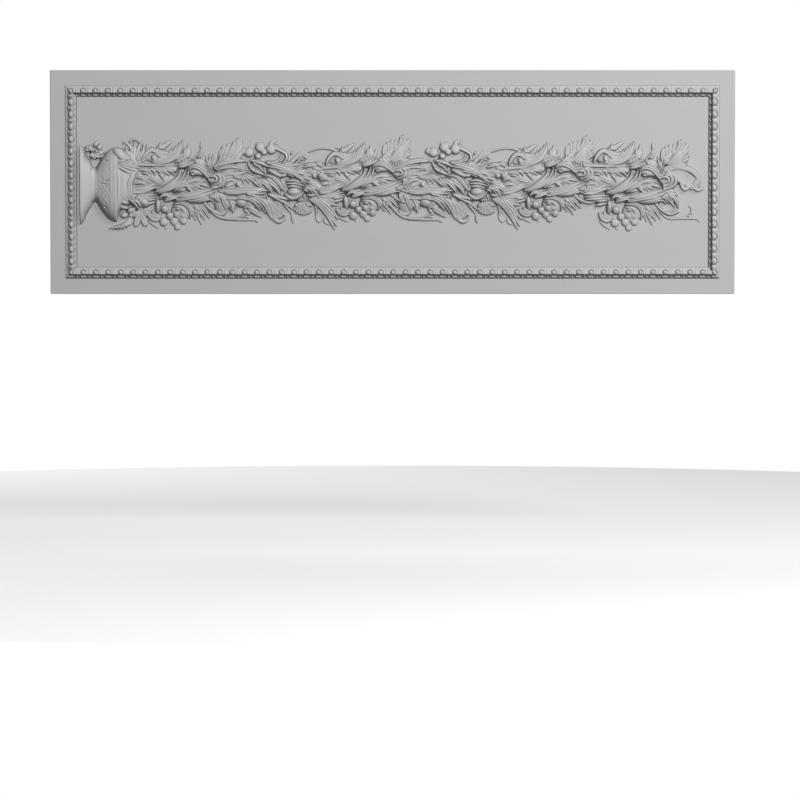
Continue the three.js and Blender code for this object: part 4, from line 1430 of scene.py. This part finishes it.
# Bottom, right, top and left
SIDES = (
    FROM_INSIDE | {"egg": (4.1, 4.3), "square": 2.0, "bar": 5.0},
    FROM_OUTSIDE | {"egg": (5.6, 4.6), "square": 3.0, "bar": 3.6},
    FROM_OUTSIDE | {"egg": (4.1, 4.3), "square": 2.0, "bar": 3.6},
    FROM_OUTSIDE | {"egg": (5.6, 4.6), "square": 3.0, "bar": 3.6, "floor": 1.9},
)


def border_points():
    """Grid round the border: rows go inwards, columns round the panel anticlockwise from the lower left
    corner. Near a corner the columns of a side crowd together so that they end on the mitre. The bottom
    side has its eggs the same way up as the top side, the two short sides mirror each other."""
    across = np.arange(-OVERLAP[0], BORDER_WIDTH + OVERLAP[1], STEP_ACROSS)[:, None]
    rows = []
    half_x, half_z = PANEL_LENGTH / 2 - MARGIN, PANEL_HEIGHT / 2 - MARGIN
    for number, side in enumerate(SIDES):
        half, other = (half_x, half_z) if number % 2 == 0 else (half_z, half_x)
        along = np.linspace(0, 2 * half, round(2 * half / STEP_ALONG))[None, :]
        from_corner = np.minimum(along, 2 * half - along)
        shift = across * np.clip(1 - from_corner / MITRE_REACH, 0, 1)
        place = np.where(along < half, along + shift, along - shift) - half
        inset = np.broadcast_to(across, place.shape)
        run = 2 * half - 2 * EGG_ACROSS
        beat = (place + half - EGG_ACROSS) / (run / round(run / EGG_PITCH))
        from_egg = (beat - np.round(beat)) * EGG_PITCH
        height = border_height(from_egg, side["start"] + side["way"] * inset, side)
        inward = other - inset
        way = np.radians(90 * number)
        c, s = round(math.cos(way)), round(math.sin(way))
        rows.append(np.stack([place * c + inward * s, -BOARD_THICKNESS - height, place * s - inward * c], 2))
    return np.concatenate([row[:, :-1] for row in rows] + [rows[0][:, :1]], 1)


border = border_points()
border[:, :, 1] = np.minimum(border[:, :, 1], BURIED - BOARD_THICKNESS)
border_rise = -BOARD_THICKNESS - border[:, :, 1]
hollow, edge = wear(border_rise, BORDER_CELLS)
# Painted shade: the border's low ground is darkened on top of its hollows
hollow = np.maximum(hollow, GROOVE_SHADE * np.clip(1 - border_rise / GROOVE_TOP, 0, 1))
everything = np.ones((border.shape[0] - 1, border.shape[1] - 1), bool)
sheet("egg_and_dart_border", border, everything, hollow, edge)

# %% [markdown]
# ## The board
#
# A plain board with eased edges: rings of a rounded rectangle from the back to the front, each a step
# along a quarter circle of the edge. A bevel modifier on a box would round the same edges, but the rings also
# round the four corners by a radius of their own, and they keep the back flat for hanging.

# %% Board
EASED = 1.2
CORNER = 2.0
CORNER_POINTS = 7
EDGE_RINGS = 6


def rounded_rectangle(half_x, half_z, radius):
    """Corner arcs joined by straight lines, anticlockwise as seen from the front"""
    turn = np.linspace(0, np.pi / 2, CORNER_POINTS)
    corners = []
    for quarter, (side_x, side_z) in enumerate([(1, 1), (-1, 1), (-1, -1), (1, -1)]):
        angle = turn + quarter * np.pi / 2
        corners.append(np.stack([
            side_x * (half_x - radius) + radius * np.cos(angle),
            side_z * (half_z - radius) + radius * np.sin(angle),
        ], 1))
    return np.concatenate(corners)


def board_mesh():
    """Closed skin: the rings from back to front, then a cap on each end"""
    rings = []
    for angle in np.linspace(0, np.pi / 2, EDGE_RINGS):
        rings.append((EASED * (1 - math.sin(angle)), -EASED * (1 - math.cos(angle))))
    rings += [(inset, -BOARD_THICKNESS - depth) for inset, depth in reversed(rings)]
    outlines = []
    for inset, y in rings:
        flat = rounded_rectangle(PANEL_LENGTH / 2 - inset, PANEL_HEIGHT / 2 - inset, CORNER - inset)
        outlines.append(np.stack([flat[:, 0], np.full(len(flat), y), flat[:, 1]], 1))
    count = len(outlines[0])
    faces = []
    for level in range(len(outlines) - 1):
        here, next_ring = level * count, (level + 1) * count
        for corner in range(count):
            ahead = (corner + 1) % count
            faces.append((here + corner, here + ahead, next_ring + ahead, next_ring + corner))
    faces.append(tuple(reversed(range(count))))
    front = (len(outlines) - 1) * count
    faces.append(tuple(front + corner for corner in range(count)))
    mesh = bpy.data.meshes.new("board")
    mesh.from_pydata((np.concatenate(outlines) * MM).tolist(), [], faces)
    return mesh


finished("board", board_mesh(), board_finish)
